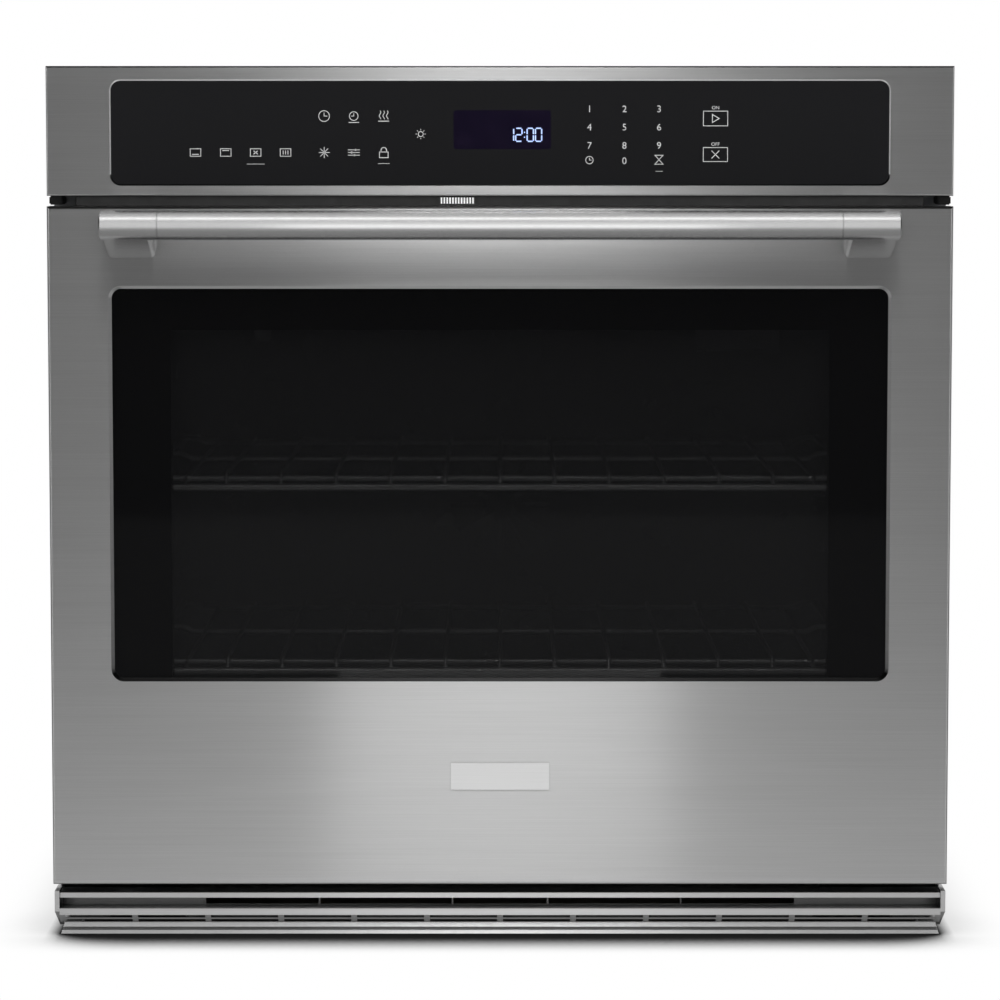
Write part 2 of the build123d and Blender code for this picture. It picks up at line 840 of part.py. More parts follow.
def control_fascia():
    # Brushed steel panel folded back on four sides, with the opening for the glass.
    half = face_width / 2
    s = sheet
    shell = block(-half, half, fascia_front, 0, fascia_bottom, face_top)
    shell = fillet(shell.faces().sort_by(Axis.Y)[0].edges(), fascia_edge)
    shell -= block(s - half, half - s, fascia_front + s, 5, fascia_bottom + s, face_top - s)
    shell -= block(s - half, half - s, -frame_thickness, 5, fascia_bottom - 1, fascia_bottom + 2 * s)
    shell -= slab(glass_width, glass_height, glass_corner, glass_mid, fascia_front - 5, fascia_front + 5)
    bevel = glass_bevel
    wide = glass_width + 2 * bevel
    tall = glass_height + 2 * bevel
    front = fascia_front
    return shell - slab(wide, tall, glass_corner + bevel, glass_mid, front, front + bevel, taper=44.9)


def control_glass():
    # Black touch glass over the whole control area.
    width = glass_width - 2 * glass_fit
    height = glass_height - 2 * glass_fit
    return slab(width, height, glass_corner - glass_fit, glass_mid, fascia_front + glass_recess, glass_rear)


def control_carrier():
    # Plastic tray behind the fascia that holds the glass and the touch board.
    front = fascia_front + sheet
    rear = glass_rear + carrier_depth
    wide = glass_width / 2
    tall = glass_height / 2
    low = glass_mid - tall
    high = glass_mid + tall
    tray = block(-wide - 13, wide + 13, front, rear, low - 5, high + 5)
    tray -= slab(glass_width, glass_height, glass_corner, glass_mid, front - 1, glass_rear)
    tray -= block(7 - wide, wide - 7, glass_rear - 1, rear - 2, low + 6, high - 6)
    for x in (45 - wide, -0.3 * wide, 0.3 * wide, wide - 45):
        tray += block(x - 3, x + 3, board_y + board_thickness, rear - 1, low + 14, low + 20)
    return tray


def touch_board():
    # Circuit board with the touch keys, on the posts of the tray.
    wide = glass_width / 2 - 24.5
    return block(-wide, wide, board_y, board_y + board_thickness, glass_low + 9, glass_high - 9)


def display_module():
    # Clock display between the touch board and the glass.
    low = glass_low + display_rise
    right = display_left + display_width
    return block(display_left, right, glass_rear, board_y, low, low + display_height)


def vent_trim():
    # Folded steel grille under the door: air outlets behind a lip, a slotted slope and a grooved sill.
    x = trim_half
    back = trim_back
    lip = trim_front + lip_setback
    face = trim_front + sheet
    sill_y = face + sill_setback
    top = trim_height
    upper = groove_high + sheet
    lower = groove_low - sheet
    profile = [
        (lip, top - lip_height),
        (lip, top),
        (back, top),
        (back, shelf_back - sheet),
        (face, shelf_front - sheet),
        (face, band_low),
        (sill_y, sill_height),
        (sill_y - sill_lean * (sill_height - upper), upper),
        (sill_y + groove_depth, upper),
        (sill_y + groove_depth, lower),
        (sill_y, lower),
        (sill_y - sill_lean * (lower - sheet), sheet),
        (-base_lead, sheet),
    ]
    trim = folded_sheet(profile, -x, x)
    ribs = [-outlet_half] + [-r for r in outlet_ribs[::-1]] + list(outlet_ribs) + [outlet_half]
    for left, right in zip(ribs[:-1], ribs[1:]):
        half = outlet_rib / 2
        trim -= block(left + half, right - half, back - 5, back + 1, shelf_back + 0.5, top - 5)
    bar_low, bar_high = slot_bar
    for k in range(slot_count):
        left = (k - slot_count / 2) * slot_pitch + slot_rib / 2
        right = left + slot_pitch - slot_rib
        trim -= block(left, right, face - 5, face + 0.5 * sill_setback, bar_high, band_low - 0.8)
        trim -= block(left, right, face - 5, sill_y, sill_height + 0.4, bar_low)
    liner_y = face + liner_lead
    for x0, x1 in ((-liner_half, liner_half), tab_span, (-tab_span[1], -tab_span[0])):
        trim += block(x0, x1, liner_y, liner_y + sheet, bar_high - 0.9, shelf_back + 0.3)
    slant = [(x, -1), (x + 5, -1), (x + 5, sill_height), (x - sill_slant, sill_height)]
    return trim - both_sides(along_y(slant, trim_front - 5, sill_y + 5))


def vent_end_caps():
    # Cheek at each end of the trim, its lower edge running back to the base.
    rear = -frame_thickness
    top = trim_height + cap_rise
    outline = [(rear, cap_foot), (rear, top), (trim_front, top), (trim_front, cap_nose)]
    return both_sides(along_x(outline, trim_half, trim_half + cap_thickness))


def vent_comb():
    # Bright ribbed insert on the front frame, seen in the gap over the door.
    x0 = comb_middle - comb_length / 2
    pitch = comb_length / comb_teeth
    low = door_top + comb_rise
    high = low + comb_height
    back = -frame_thickness
    comb = block(x0, x0 + comb_length, back - sheet, back, low, high)
    for k in range(comb_teeth):
        x = x0 + pitch * (k + 0.25)
        comb += block(x, x + pitch / 2, back - comb_depth, back - sheet / 2, low, high)
    return comb


def latch_bracket():
    # Plate on the shelf with the pivot post of the door latch.
    z = shelf_top
    wide = latch_motor_radius + 2
    plate = block(latch_x - wide, latch_x + wide, 8, latch_y + 68, z, z + 1.6)
    plate += many_sided(latch_post_radius + 3, hub_sides, latch_x, latch_y, z + 1, hook_z - 0.1)
    return plate + rod_z(latch_post_radius, latch_x, latch_y, z + 1, hook_z + latch_plate + 2)


def latch_motor():
    # Small gear motor that turns the latch.
    z = shelf_top + 1.6
    y = latch_y + 42
    wide = latch_motor_radius + 2
    motor = many_sided(latch_motor_radius, scroll_sides, latch_x, y, z, z + 24)
    return motor + block(latch_x - wide, latch_x + wide, y - 6, y + 6, z, z + 2)


def latch_hook():
    # Flat hook that swings behind the door liner for self-cleaning, drawn in its free position.
    x = latch_x
    w = hook_width
    reach = latch_y - skin_rear + 15
    outline = [
        (x - w, latch_y),
        (x - w, latch_y - reach),
        (x + 3 * w, latch_y - reach - 2),
        (x + 3.45 * w, latch_y - reach + 6.1),
        (x + w, latch_y - reach + 9.3),
        (x + w, latch_y),
    ]
    hook = along_z(outline, hook_z, hook_z + latch_plate)
    hook += many_sided(2 * latch_post_radius, hub_sides, x, latch_y, hook_z, hook_z + latch_plate)
    return hook - rod_z(latch_post_radius + running, x, latch_y, hook_z - 1, hook_z + latch_plate + 1)


def hinge_receivers():
    # Folded sockets behind the front frame that the hinge arms hook into.
    x = hinge_x
    z = hinge_z
    wide = arm_thickness / 2 + touch
    tall = arm_height / 2 + touch
    wall = socket_wall
    socket = block(x - wide - wall, x + wide + wall, 0, arm_reach + 2, z - tall - wall, z + tall + wall)
    socket -= block(x - wide, x + wide, -1, arm_reach + touch, z - tall, z + tall)
    return both_sides(socket)


def hinge_arms():
    # Steel arms that stay in the sockets while the door turns on their eyes.
    x0 = hinge_x - arm_thickness / 2
    x1 = hinge_x + arm_thickness / 2
    half = arm_height / 2
    arm = block(x0, x1, hinge_y, arm_reach, hinge_z - half, hinge_z + half)
    arm += rod_x(eye_radius, x0, x1, hinge_y, hinge_z)
    arm -= block(x0 - 1, x1 + 1, -frame_thickness - 0.5, 3, hinge_z - half - 1, hinge_z - half + 3)
    arm -= rod_x(pin_radius + running, x0 - 1, x1 + 1, hinge_y, hinge_z)
    return both_sides(arm)


def hinge_channels():
    # Folded channels inside the door that carry the pins and the springs.
    x = hinge_x
    gap = channel_half_gap
    out = gap + channel_wall
    low = door_bottom + skin_sheet + touch
    front = door_front + 5
    rear = front + channel_depth
    channel = block(x - out, x + out, front, rear, low, channel_top)
    channel -= block(x - gap, x + gap, front + channel_wall, rear + 1, low - 1, channel_top - channel_wall)
    channel -= rod_x(pin_radius, x - 2 * out, x + 2 * out, hinge_y, hinge_z)
    return both_sides(channel)


def hinge_pins():
    # Pins across the channels, the axis that the door turns on.
    out = channel_half_gap + channel_wall + 0.5
    return both_sides(rod_x(pin_radius, hinge_x - out, hinge_x + out, hinge_y, hinge_z))


def hinge_springs():
    # Balance springs of the door, drawn as closed coils on their rods.
    y = door_front + 13
    low = hinge_z + 26
    high = channel_top - channel_wall
    spring = many_sided(spring_radius, 12, hinge_x, y, low + 13, high - 14)
    return both_sides(spring + many_sided(1.5, wire_sides, hinge_x, y, low, high))


def door_skin():
    # Brushed steel front of the door, folded back all round, with a pressed rim round the window.
    half = face_width / 2
    s = skin_sheet
    skin = block(-half, half, door_front, skin_rear, door_bottom, door_top)
    skin = fillet(skin.faces().sort_by(Axis.Y)[0].edges(), skin_edge)
    skin -= block(s - half, half - s, door_front + s, skin_rear - s, door_bottom + s, door_top - s)
    lip = skin_lip + s
    skin -= block(lip - half, half - lip, skin_rear - 5, skin_rear + 5, door_bottom + lip, door_top - lip)
    w = window_width
    h = window_height
    rim = rim_width
    corner = window_corner
    front = door_front
    skin += slab(w + 4 * rim, h + 4 * rim, corner + 2 * rim, window_mid, front + s / 2, front + rim_depth)
    skin -= slab(w, h, corner, window_mid, front - 5, front + 10)
    fall = rim_depth - 0.6
    slope = math.degrees(math.atan(rim / fall))
    skin -= slab(w + 2 * rim, h + 2 * rim, corner + rim, window_mid, front, front + fall, taper=slope)
    wide = arm_thickness / 2 + 2
    for x in (-hinge_x, hinge_x):
        skin -= block(x - wide, x + wide, hinge_y - 8, skin_rear + 5, door_bottom - 5, hinge_z + 8)
    skin -= latch_way(skin_rear - 3, skin_rear + 3)
    pitch = 0.8 * face_width / door_slots
    for k in range(door_slots):
        x0 = (k - door_slots / 2 + 0.16) * pitch
        skin -= block(x0, x0 + 0.68 * pitch, skin_rear - 14, skin_rear - 9, door_top - 5, door_top + 5)
    return skin


def door_outer_glass():
    # Tinted front pane behind the rim of the window.
    width = window_width + 2 * outer_overlap
    height = window_height + 2 * outer_overlap
    return slab(width, height, 10, window_mid, door_front + rim_depth, outer_rear)


def glass_frame():
    # Folded frame that carries the two inner panes.
    rear = liner_rear - skin_sheet - touch
    s = skin_sheet
    wide = pane_width / 2 + touch
    low = pane_low - touch
    high = pane_high + touch
    frame = block(-wide - s, wide + s, outer_rear, rear, low - s, high + s)
    frame -= block(-wide, wide, outer_rear - 1, rear - s, low, high)
    lip = pane_lip + touch
    frame -= block(lip - wide, wide - lip, rear - 5, rear + 5, low + lip, high - lip)
    y = middle_pane_y - touch
    for z in (low, high - 6):
        frame += block(-wide, wide, y - s, y, z, z + 6)
    return frame


def pane(front):
    half = pane_width / 2
    return block(-half, half, front, front + inner_pane, pane_low, pane_high)


def inner_glass_panes():
    # Two inner panes with air between them.
    rear = liner_rear - 2 * skin_sheet - 2 * touch
    return Compound([pane(middle_pane_y), pane(rear - inner_pane)])


def door_liner():
    # Enamelled inner face of the door, its plateau reaching to the gasket.
    s = skin_sheet
    half = face_width / 2 - 3
    low = door_bottom + 4
    high = door_top - 4
    liner = block(-half, half, skin_rear, skin_rear + s, low, high)
    wide = cavity_width + 2 * plateau_margin
    bottom = cavity_bottom - 34
    tall = cavity_top + 46 - bottom
    mid = bottom + tall / 2
    slope = plateau_slope
    liner += slab(wide, tall, 30, mid, skin_rear, liner_rear, taper=slope)
    front = skin_rear - 1
    liner -= slab(wide - 2 * s, tall - 2 * s, 30 - s, mid, front, liner_rear - s, taper=slope)
    clear_width = pane_width - 2 * clear_inset
    clear_height = pane_height - 2 * clear_drop
    liner -= slab(clear_width, clear_height, 12, pane_mid, front - 5, liner_rear + 5)
    out = channel_half_gap + channel_wall + 2.5
    for x in (-hinge_x, hinge_x):
        liner -= block(x - out, x + out, skin_rear - 5, liner_rear + 5, low - 5, hinge_z + 30)
    return liner - latch_way(skin_rear - 3, skin_rear + 3)


def door_insulation():
    # Wool pads above and below the panes.
    rear = skin_rear + 6
    wide = pane_width / 2 - 4
    lower = block(-wide, wide, door_front + skin_sheet + touch, rear, door_bottom + 44, pane_low - 6)
    wide = cavity_width / 2 + 7
    upper = block(-wide, wide, outer_rear + touch, rear, pane_high + 6, door_top - 26)
    return Compound([lower, upper])


def handle_bar():
    # Steel tube between the two end brackets.
    reach = bracket_inner - touch
    tube = rod_x(bar_radius, -reach, reach, bar_y, bar_z)
    return tube - rod_x(bar_radius - bar_wall, -reach - 1, reach + 1, bar_y, bar_z)


def handle_brackets():
    # Cast ends of the handle: a spigot in the tube and a sloping post down to the door.
    end = rod_x(bar_radius, bracket_inner, bracket_outer, bar_y, bar_z)
    end = chamfer(end.edges().group_by(Axis.X)[-1], bar_chamfer)
    spigot = bar_radius - bar_wall - running
    end += rod_x(spigot, bracket_inner - spigot_length, bracket_inner + 1, bar_y, bar_z)
    foot = [
        (bar_y, bar_z - bar_radius),
        (door_front, bar_z + 5 - foot_height),
        (door_front, bar_z + 5),
        (bar_y, bar_z + bar_radius - 1),
    ]
    post = along_x(foot, bracket_inner + 6.4, bracket_outer - 2.3)
    slopes = post.edges().filter_by(Axis.X, reverse=True).filter_by(Axis.Z, reverse=True)
    return both_sides(end + chamfer(slopes, 2))


def rack(guide):
    # Wire rack: two side rails, cross rods with raised ends, deck wires bent down to a front bar.
    rail_z = guide_first + guide_pitch * guide + rail_radius + running
    level = rail_z - rail_lift
    deck = level + rod_radius + wire_radius - 0.6
    bar = (rack_front - front_bar_lead, level - front_bar_drop)
    reach = rail_x - bar_inset
    body = wire(front_bar_radius, [(-reach, *bar), (reach, *bar)])
    for x in (-rail_x, rail_x):
        body += wire(rail_radius, [(x, rack_front - 6, rail_z), (x, rack_rear + 6, rail_z)])
    for share in rod_places:
        y = rack_front + share * (rack_rear - rack_front)
        step = rail_x - rod_step
        half = [(rail_x, y, rail_z), (step, y, rail_z), (step - rod_slope, y, level)]
        body += wire(rod_radius, [(-x, y, z) for x, y, z in half] + half[::-1])
    for k in range(wire_count):
        x = (k - (wire_count - 1) / 2) * wire_pitch
        body += wire(wire_radius, [(x, rack_rear + 4, deck), (x, rack_front - 3, deck), (x, *bar)])
    for x in (side_inset - rail_x, rail_x - side_inset):
        body += wire(wire_radius, [(x, rack_rear + 2, level), (x, rack_front - 3, level), (x, *bar)])
    return body


pieces = {
    "base_pan": base_pan(),
    "right_side_panel": side_panel(),
    "left_side_panel": other_side(side_panel()),
    "top_cover": top_cover(),
    "rear_cover": rear_cover(),
    "front_frame": front_frame(),
    "frame_feet": frame_feet(),
    "mount_rail_right": mount_rail(),
    "mount_rail_left": other_side(mount_rail()),
    "cavity_wrap": cavity_wrap(),
    "cavity_floor": cavity_floor(),
    "cavity_back": cavity_back(),
    "door_gasket": door_gasket(),
    "insulation_wrap": insulation_wrap(),
    "insulation_back": insulation_back(),
    "bake_element": bake_element(),
    "broil_element": broil_element(),
    "convection_element": convection_element(),
    "convection_baffle": convection_baffle(),
    "convection_fan": convection_fan(),
    "convection_motor": convection_motor(),
    "lamp_housing": lamp_housing(),
    "lamp_bulb": lamp_bulb(),
    "lamp_lens": lamp_lens(),
    "temperature_probe": temperature_probe(),
    "flue_tube": flue_tube(),
    "air_deflector": air_deflector(),
    "cooling_scroll": cooling_scroll(),
    "cooling_motor": cooling_motor(),
    "cooling_wheel": cooling_wheel(),
    "power_board": power_board(),
    "terminal_block": terminal_block(),
    "thermal_cutoff": thermal_cutoff(),
    "control_fascia": control_fascia(),
    "control_glass": control_glass(),
    "control_carrier": control_carrier(),
    "touch_board": touch_board(),
    "display_module": display_module(),
    "vent_trim": vent_trim(),
    "vent_end_caps": vent_end_caps(),
    "vent_comb": vent_comb(),
    "latch_bracket": latch_bracket(),
    "latch_motor": latch_motor(),
    "latch_hook": latch_hook(),
    "hinge_receivers": hinge_receivers(),
    "hinge_arms": hinge_arms(),
    "hinge_channels": hinge_channels(),
    "hinge_pins": hinge_pins(),
    "hinge_springs": hinge_springs(),
    "door_skin": door_skin(),
    "door_outer_glass": door_outer_glass(),
    "glass_frame": glass_frame(),
    "inner_glass_panes": inner_glass_panes(),
    "door_liner": door_liner(),
    "door_insulation": door_insulation(),
    "handle_bar": handle_bar(),
    "handle_brackets": handle_brackets(),
    "upper_rack": rack(upper_guide),
    "lower_rack": rack(lower_guide),
}

for name, shape in pieces.items():
    export_step(shape, "parts/" + name + ".step")
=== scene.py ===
import math
import bmesh
import bpy
from mathutils import Matrix, Vector


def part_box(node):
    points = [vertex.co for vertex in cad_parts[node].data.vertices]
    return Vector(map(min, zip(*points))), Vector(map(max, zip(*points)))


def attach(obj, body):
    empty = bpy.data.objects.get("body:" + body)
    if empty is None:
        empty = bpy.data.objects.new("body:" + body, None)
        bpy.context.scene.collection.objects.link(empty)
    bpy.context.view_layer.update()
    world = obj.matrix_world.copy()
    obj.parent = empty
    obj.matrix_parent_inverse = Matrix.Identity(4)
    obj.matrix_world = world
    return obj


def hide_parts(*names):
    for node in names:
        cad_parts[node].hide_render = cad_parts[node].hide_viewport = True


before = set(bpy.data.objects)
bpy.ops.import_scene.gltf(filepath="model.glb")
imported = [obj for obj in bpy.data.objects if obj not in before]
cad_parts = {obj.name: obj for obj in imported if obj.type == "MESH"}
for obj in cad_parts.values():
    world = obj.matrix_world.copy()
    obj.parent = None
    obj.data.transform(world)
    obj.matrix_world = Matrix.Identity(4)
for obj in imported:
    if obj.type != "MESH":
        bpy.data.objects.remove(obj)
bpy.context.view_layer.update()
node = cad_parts

# Camera: on the middle of the oven at the height of the control panel, about 3.4 m away,
# looking slightly down at the door with a long lens.
camera_data = bpy.data.cameras.new("front_camera")
camera_data.lens = 145.97
camera_data.sensor_width = 36
camera = bpy.data.objects.new("front_camera", camera_data)
camera.location = (0, -3.432, 0.6815)
camera.rotation_euler = (math.radians(84.76), 0, 0)
bpy.context.scene.collection.objects.link(camera)
bpy.context.scene.camera = camera
bpy.context.scene.view_settings.view_transform = "Standard"
bpy.context.scene.cycles.transparent_max_bounces = 24


# Studio: white all round for the eye, and dim in front of the oven for what the metal mirrors. A
# tall narrow softbox over the camera runs down the middle of the brushed steel, broad fills are
# weak, and the handle, the grille, the gap over the door and the racks have linked lamps.
def feed(tree, slot, value):
    # A plain number is set on the socket, an output is linked to it.
    if isinstance(value, (int, float)):
        slot.default_value = value
    else:
        tree.links.new(value, slot)


def spread(tree, value, start, end, low, high, way="LINEAR"):
    # The value mapped from start and end to low and high, and held beyond them.
    part = tree.nodes.new("ShaderNodeMapRange")
    part.interpolation_type = way
    names = ("Value", "From Min", "From Max", "To Min", "To Max")
    for name, level in zip(names, (value, start, end, low, high)):
        feed(tree, part.inputs[name], level)
    return part.outputs[0]


def reckon(tree, operation, *values):
    part = tree.nodes.new("ShaderNodeMath")
    part.operation = operation
    for slot, value in zip(part.inputs, values):
        feed(tree, slot, value)
    return part.outputs[0]


def axes(tree, vector):
    part = tree.nodes.new("ShaderNodeSeparateXYZ")
    tree.links.new(vector, part.inputs[0])
    return part.outputs


def mixed(tree, share, first, second):
    part = tree.nodes.new("ShaderNodeMixShader")
    for slot, value in zip(part.inputs, (share, first, second)):
        tree.links.new(value, slot)
    return part.outputs[0]


def white_wall(tree, strength):
    part = tree.nodes.new("ShaderNodeBackground")
    part.inputs["Color"].default_value = (1, 1, 1, 1)
    feed(tree, part.inputs["Strength"], strength)
    return part.outputs[0]


world = bpy.data.worlds.new("studio")
bpy.context.scene.world = world
world.use_nodes = True
room = world.node_tree
room.nodes.clear()
ray = room.nodes.new("ShaderNodeLightPath").outputs
way = axes(room, room.nodes.new("ShaderNodeTexCoord").outputs["Generated"])
behind = spread(room, way["Y"], 0.3, 0.9, 0.05, 0.95)
above = spread(room, way["Z"], 0.3, 0.85, 1.0, 0.35)
mirrored = white_wall(room, reckon(room, "MULTIPLY", behind, above))
ambient = white_wall(room, 0.4)
seen = reckon(room, "MAXIMUM", ray["Is Camera Ray"], ray["Is Transmission Ray"])
for_metal = mixed(room, ray["Is Glossy Ray"], ambient, mirrored)
for_eye = mixed(room, seen, for_metal, white_wall(room, 1.0))
room_out = room.nodes.new("ShaderNodeOutputWorld")
room.links.new(for_eye, room_out.inputs["Surface"])


def softbox(name, place, aim, width, height, power, pieces=(), state="INCLUDE"):
    # An area lamp turned to its aim. With pieces named it lights only those, or all but those.
    data = bpy.data.lights.new(name, "AREA")
    data.shape = "RECTANGLE"
    data.size = width
    data.size_y = height
    data.energy = power
    lamp = bpy.data.objects.new(name, data)
    lamp.location = place
    lamp.rotation_euler = (Vector(aim) - Vector(place)).to_track_quat("-Z", "Y").to_euler()
    lamp.visible_camera = False
    bpy.context.scene.collection.objects.link(lamp)
    if pieces:
        group = bpy.data.collections.new(name + "_reach")
        for piece in pieces:
            group.objects.link(bpy.data.objects[piece])
        lamp.light_linking.receiver_collection = group
        for item in group.collection_objects:
            item.light_linking.link_state = state


handle = ("handle_bar", "handle_brackets")
grille = ("vent_trim", "vent_end_caps")
softbox("overhead_softbox", (0, -2.0, 2.75), (0, 0, 0.5), 0.4, 1.6, 23, handle, "EXCLUDE")
softbox("ceiling_panel", (0, -1.9, 3.0), (0, 0, 0.6), 4.2, 1.0, 23, handle, "EXCLUDE")
softbox("floor_card", (0, -0.7, 0.02), (0, -0.6, 0.5), 0.35, 0.7, 1.05, handle, "EXCLUDE")
softbox("floor_bounce", (0, -0.37, 0.02), (0, -0.36, 0.5), 5.0, 0.65, 4.3, handle, "EXCLUDE")
softbox("sill_front", (0, -1.5, 0.8), (0, 0, 0.01), 1.6, 0.9, 6, grille)
softbox("bar_front", (0, -1.3, 0.75), (0, 0, 0.6), 3.0, 1.2, 9, handle)
softbox("bar_middle", (0, -1.3, 0.45), (0, 0, 0.6), 0.5, 0.6, 0.7, handle)
softbox("bar_high", (0, -1.5, 2.6), (0, -0.1, 0.6), 4.0, 0.9, 24, handle)
softbox("bar_top", (0, -0.1, 2.6), (0, -0.1, 0.6), 4.0, 1.2, 9, handle)
softbox("gap_strip", (0, -0.8, 0.643), (0, 0, 0.621), 1.2, 0.05, 6, ("vent_comb", "front_frame"))
softbox("left_fill", (-2.6, -2.0, 1.5), (0, 0, 0.4), 1.4, 1.8, 14)
softbox("right_fill", (2.6, -2.0, 1.5), (0, 0, 0.4), 1.4, 1.8, 14)
softbox("rear_fill", (0, 2.6, 2.4), (0, 0.3, 0.4), 2.2, 1.4, 22)


# Floor: a round sheet of pale paper under the oven. To the eye it is white with a soft shadow
# close to the oven, which is weaker beside it than in front, and in mirrors it is a dull grey.
def shape(name, form):
    # The finished form as a mesh object in the scene.
    mesh = bpy.data.meshes.new(name)
    form.to_mesh(mesh)
    form.free()
    made = bpy.data.objects.new(name, mesh)
    bpy.context.scene.collection.objects.link(made)
    return made


paper_radius, paper_tone, paper_gleam = 4.0, 0.7, 0.25
shadow_reach, shadow_floor = 0.09, 0.012
shadow_front, shadow_side, side_level = (-0.29, -0.24), (0.374, 0.386), 0.7
floor_form = bmesh.new()
bmesh.ops.create_circle(floor_form, cap_ends=True, radius=paper_radius, segments=96)
floor = shape("floor", floor_form)
floor.location = (0, 0.2, -0.0005)
floor_paper = bpy.data.materials.new("floor_paper")
floor_paper.use_nodes = True
paper = floor_paper.node_tree
paper.nodes.clear()
paper_ray = paper.nodes.new("ShaderNodeLightPath").outputs
paper_seen = reckon(paper, "MAXIMUM", paper_ray["Is Camera Ray"], paper_ray["Is Transmission Ray"])
contact = paper.nodes.new("ShaderNodeAmbientOcclusion")
contact.inputs["Distance"].default_value = shadow_reach
contact.samples = 24
paper_place = axes(paper, paper.nodes.new("ShaderNodeTexCoord").outputs["Object"])
beside = spread(paper, paper_place["Y"], *shadow_front, 0.0, 1.0)
clear_of = spread(paper, reckon(paper, "ABSOLUTE", paper_place["X"]), *shadow_side, 0.0, side_level)
faint = reckon(paper, "MULTIPLY_ADD", beside, clear_of, shadow_floor)
depth = spread(paper, contact.outputs["AO"], 0.55, 0.98, faint, 1.0, "SMOOTHSTEP")
glow = paper.nodes.new("ShaderNodeEmission")
paper.links.new(depth, glow.inputs["Strength"])
matt = paper.nodes.new("ShaderNodeBsdfDiffuse")
matt.inputs["Color"].default_value = (paper_tone, paper_tone, paper_tone, 1)
gleam = paper.nodes.new("ShaderNodeEmission")
gleam.inputs["Strength"].default_value = paper_gleam
dull = mixed(paper, paper_ray["Is Glossy Ray"], matt.outputs[0], gleam.outputs[0])
paper_out = paper.nodes.new("ShaderNodeOutputMaterial")
paper.links.new(mixed(paper, paper_seen, dull, glow.outputs[0]), paper_out.inputs["Surface"])
floor.data.materials.append(floor_paper)


# Chassis sheets: base tray, sides, lid, back, angles and shelf are cut and folded from
# galvanised steel about 1 mm thick and screwed together. The zinc has a fine spangle.
def finish(name, color, metallic, roughness):
    mat = bpy.data.materials.new(name)
    mat.use_nodes = True
    tree = mat.node_tree
    body = tree.nodes["Principled BSDF"]
    body.inputs["Base Color"].default_value = (*color, 1)
    body.inputs["Metallic"].default_value = metallic
    body.inputs["Roughness"].default_value = roughness
    return mat, tree, body


def placed(tree, scale):
    # The place on the piece, stretched by one scale or by a scale for each axis.
    spot = tree.nodes.new("ShaderNodeTexCoord")
    stretch = tree.nodes.new("ShaderNodeMapping")
    stretch.inputs["Scale"].default_value = scale if isinstance(scale, tuple) else (scale, scale, scale)
    tree.links.new(spot.outputs["Object"], stretch.inputs["Vector"])
    return stretch.outputs["Vector"]


def noise(tree, scale, detail=3.0):
    grain = tree.nodes.new("ShaderNodeTexNoise")
    grain.inputs["Scale"].default_value = 1.0
    grain.inputs["Detail"].default_value = detail
    tree.links.new(placed(tree, scale), grain.inputs["Vector"])
    return grain.outputs["Fac"]


def between(tree, value, low, high):
    return spread(tree, value, 0.25, 0.75, low, high)


def roughen(tree, body, value, low, high):
    tree.links.new(between(tree, value, low, high), body.inputs["Roughness"])


def tones(tree, value, dark, light, start=0.3, end=0.7):
    ramp = tree.nodes.new("ShaderNodeValToRGB")
    for stop, place, color in zip(ramp.color_ramp.elements, (start, end), (dark, light)):
        stop.position = place
        stop.color = (*color, 1)
    tree.links.new(value, ramp.inputs["Fac"])
    return ramp.outputs["Color"]


def tint(tree, body, value, dark, light, start=0.3, end=0.7):
    tree.links.new(tones(tree, value, dark, light, start, end), body.inputs["Base Color"])


def relief(tree, body, value, strength, height):
    bump = tree.nodes.new("ShaderNodeBump")
    bump.inputs["Strength"].default_value = strength
    bump.inputs["Distance"].default_value = height
    tree.links.new(value, bump.inputs["Height"])
    tree.links.new(bump.outputs["Normal"], body.inputs["Normal"])


def dress(mat, *names):
    for name in names:
        slots = node[name].data.materials
        slots.clear()
        slots.append(mat)


zinc, tree, body = finish("galvanised_zinc", (0.56, 0.57, 0.58), 1.0, 0.42)
spangle = tree.nodes.new("ShaderNodeTexVoronoi")
spangle.inputs["Scale"].default_value = 1.0
tree.links.new(placed(tree, 130), spangle.inputs["Vector"])
flake = tree.nodes.new("ShaderNodeRGBToBW")
tree.links.new(spangle.outputs["Color"], flake.inputs["Color"])
tint(tree, body, flake.outputs[0], (0.53, 0.54, 0.55), (0.59, 0.6, 0.61))
roughen(tree, body, flake.outputs[0], 0.39, 0.46)
relief(tree, body, noise(tree, 260), 0.08, 0.0004)
dress(
    zinc, "base_pan", "left_side_panel", "right_side_panel", "top_cover", "rear_cover", "mount_rail_left",
    "mount_rail_right", "air_deflector", "cooling_scroll", "flue_tube", "latch_bracket", "glass_frame",
    "hinge_receivers", "hinge_channels", "lamp_housing",
)

# Case screws: hex washer-head screws of plated steel, driven from outside through the lid and
# the sides into the folded edges of the back and the base.
plated, tree, body = finish("plated_steel", (0.62, 0.61, 0.58), 1.0, 0.34)
roughen(tree, body, noise(tree, 600), 0.28, 0.44)
washer_radius, washer_height, washer_sides = 0.0054, 0.0009, 20
hex_radius, hex_height, hex_sides = 0.004, 0.0036, 6
head_taper, screw_inset = 0.92, 0.012
screw_form = bmesh.new()


def case_screw(x, y, z, turn):
    seat = Matrix.Translation((x, y, z)) @ Matrix.Rotation(math.radians(turn), 4, "Y")
    washer = (washer_radius, washer_height, washer_sides)
    for radius, height, sides in (washer, (hex_radius, hex_height, hex_sides)):
        stand = seat @ Matrix.Translation((0, 0, height / 2))
        bmesh.ops.create_cone(screw_form, cap_ends=True, segments=sides, radius1=radius,
                              radius2=radius * head_taper, depth=height, matrix=stand)


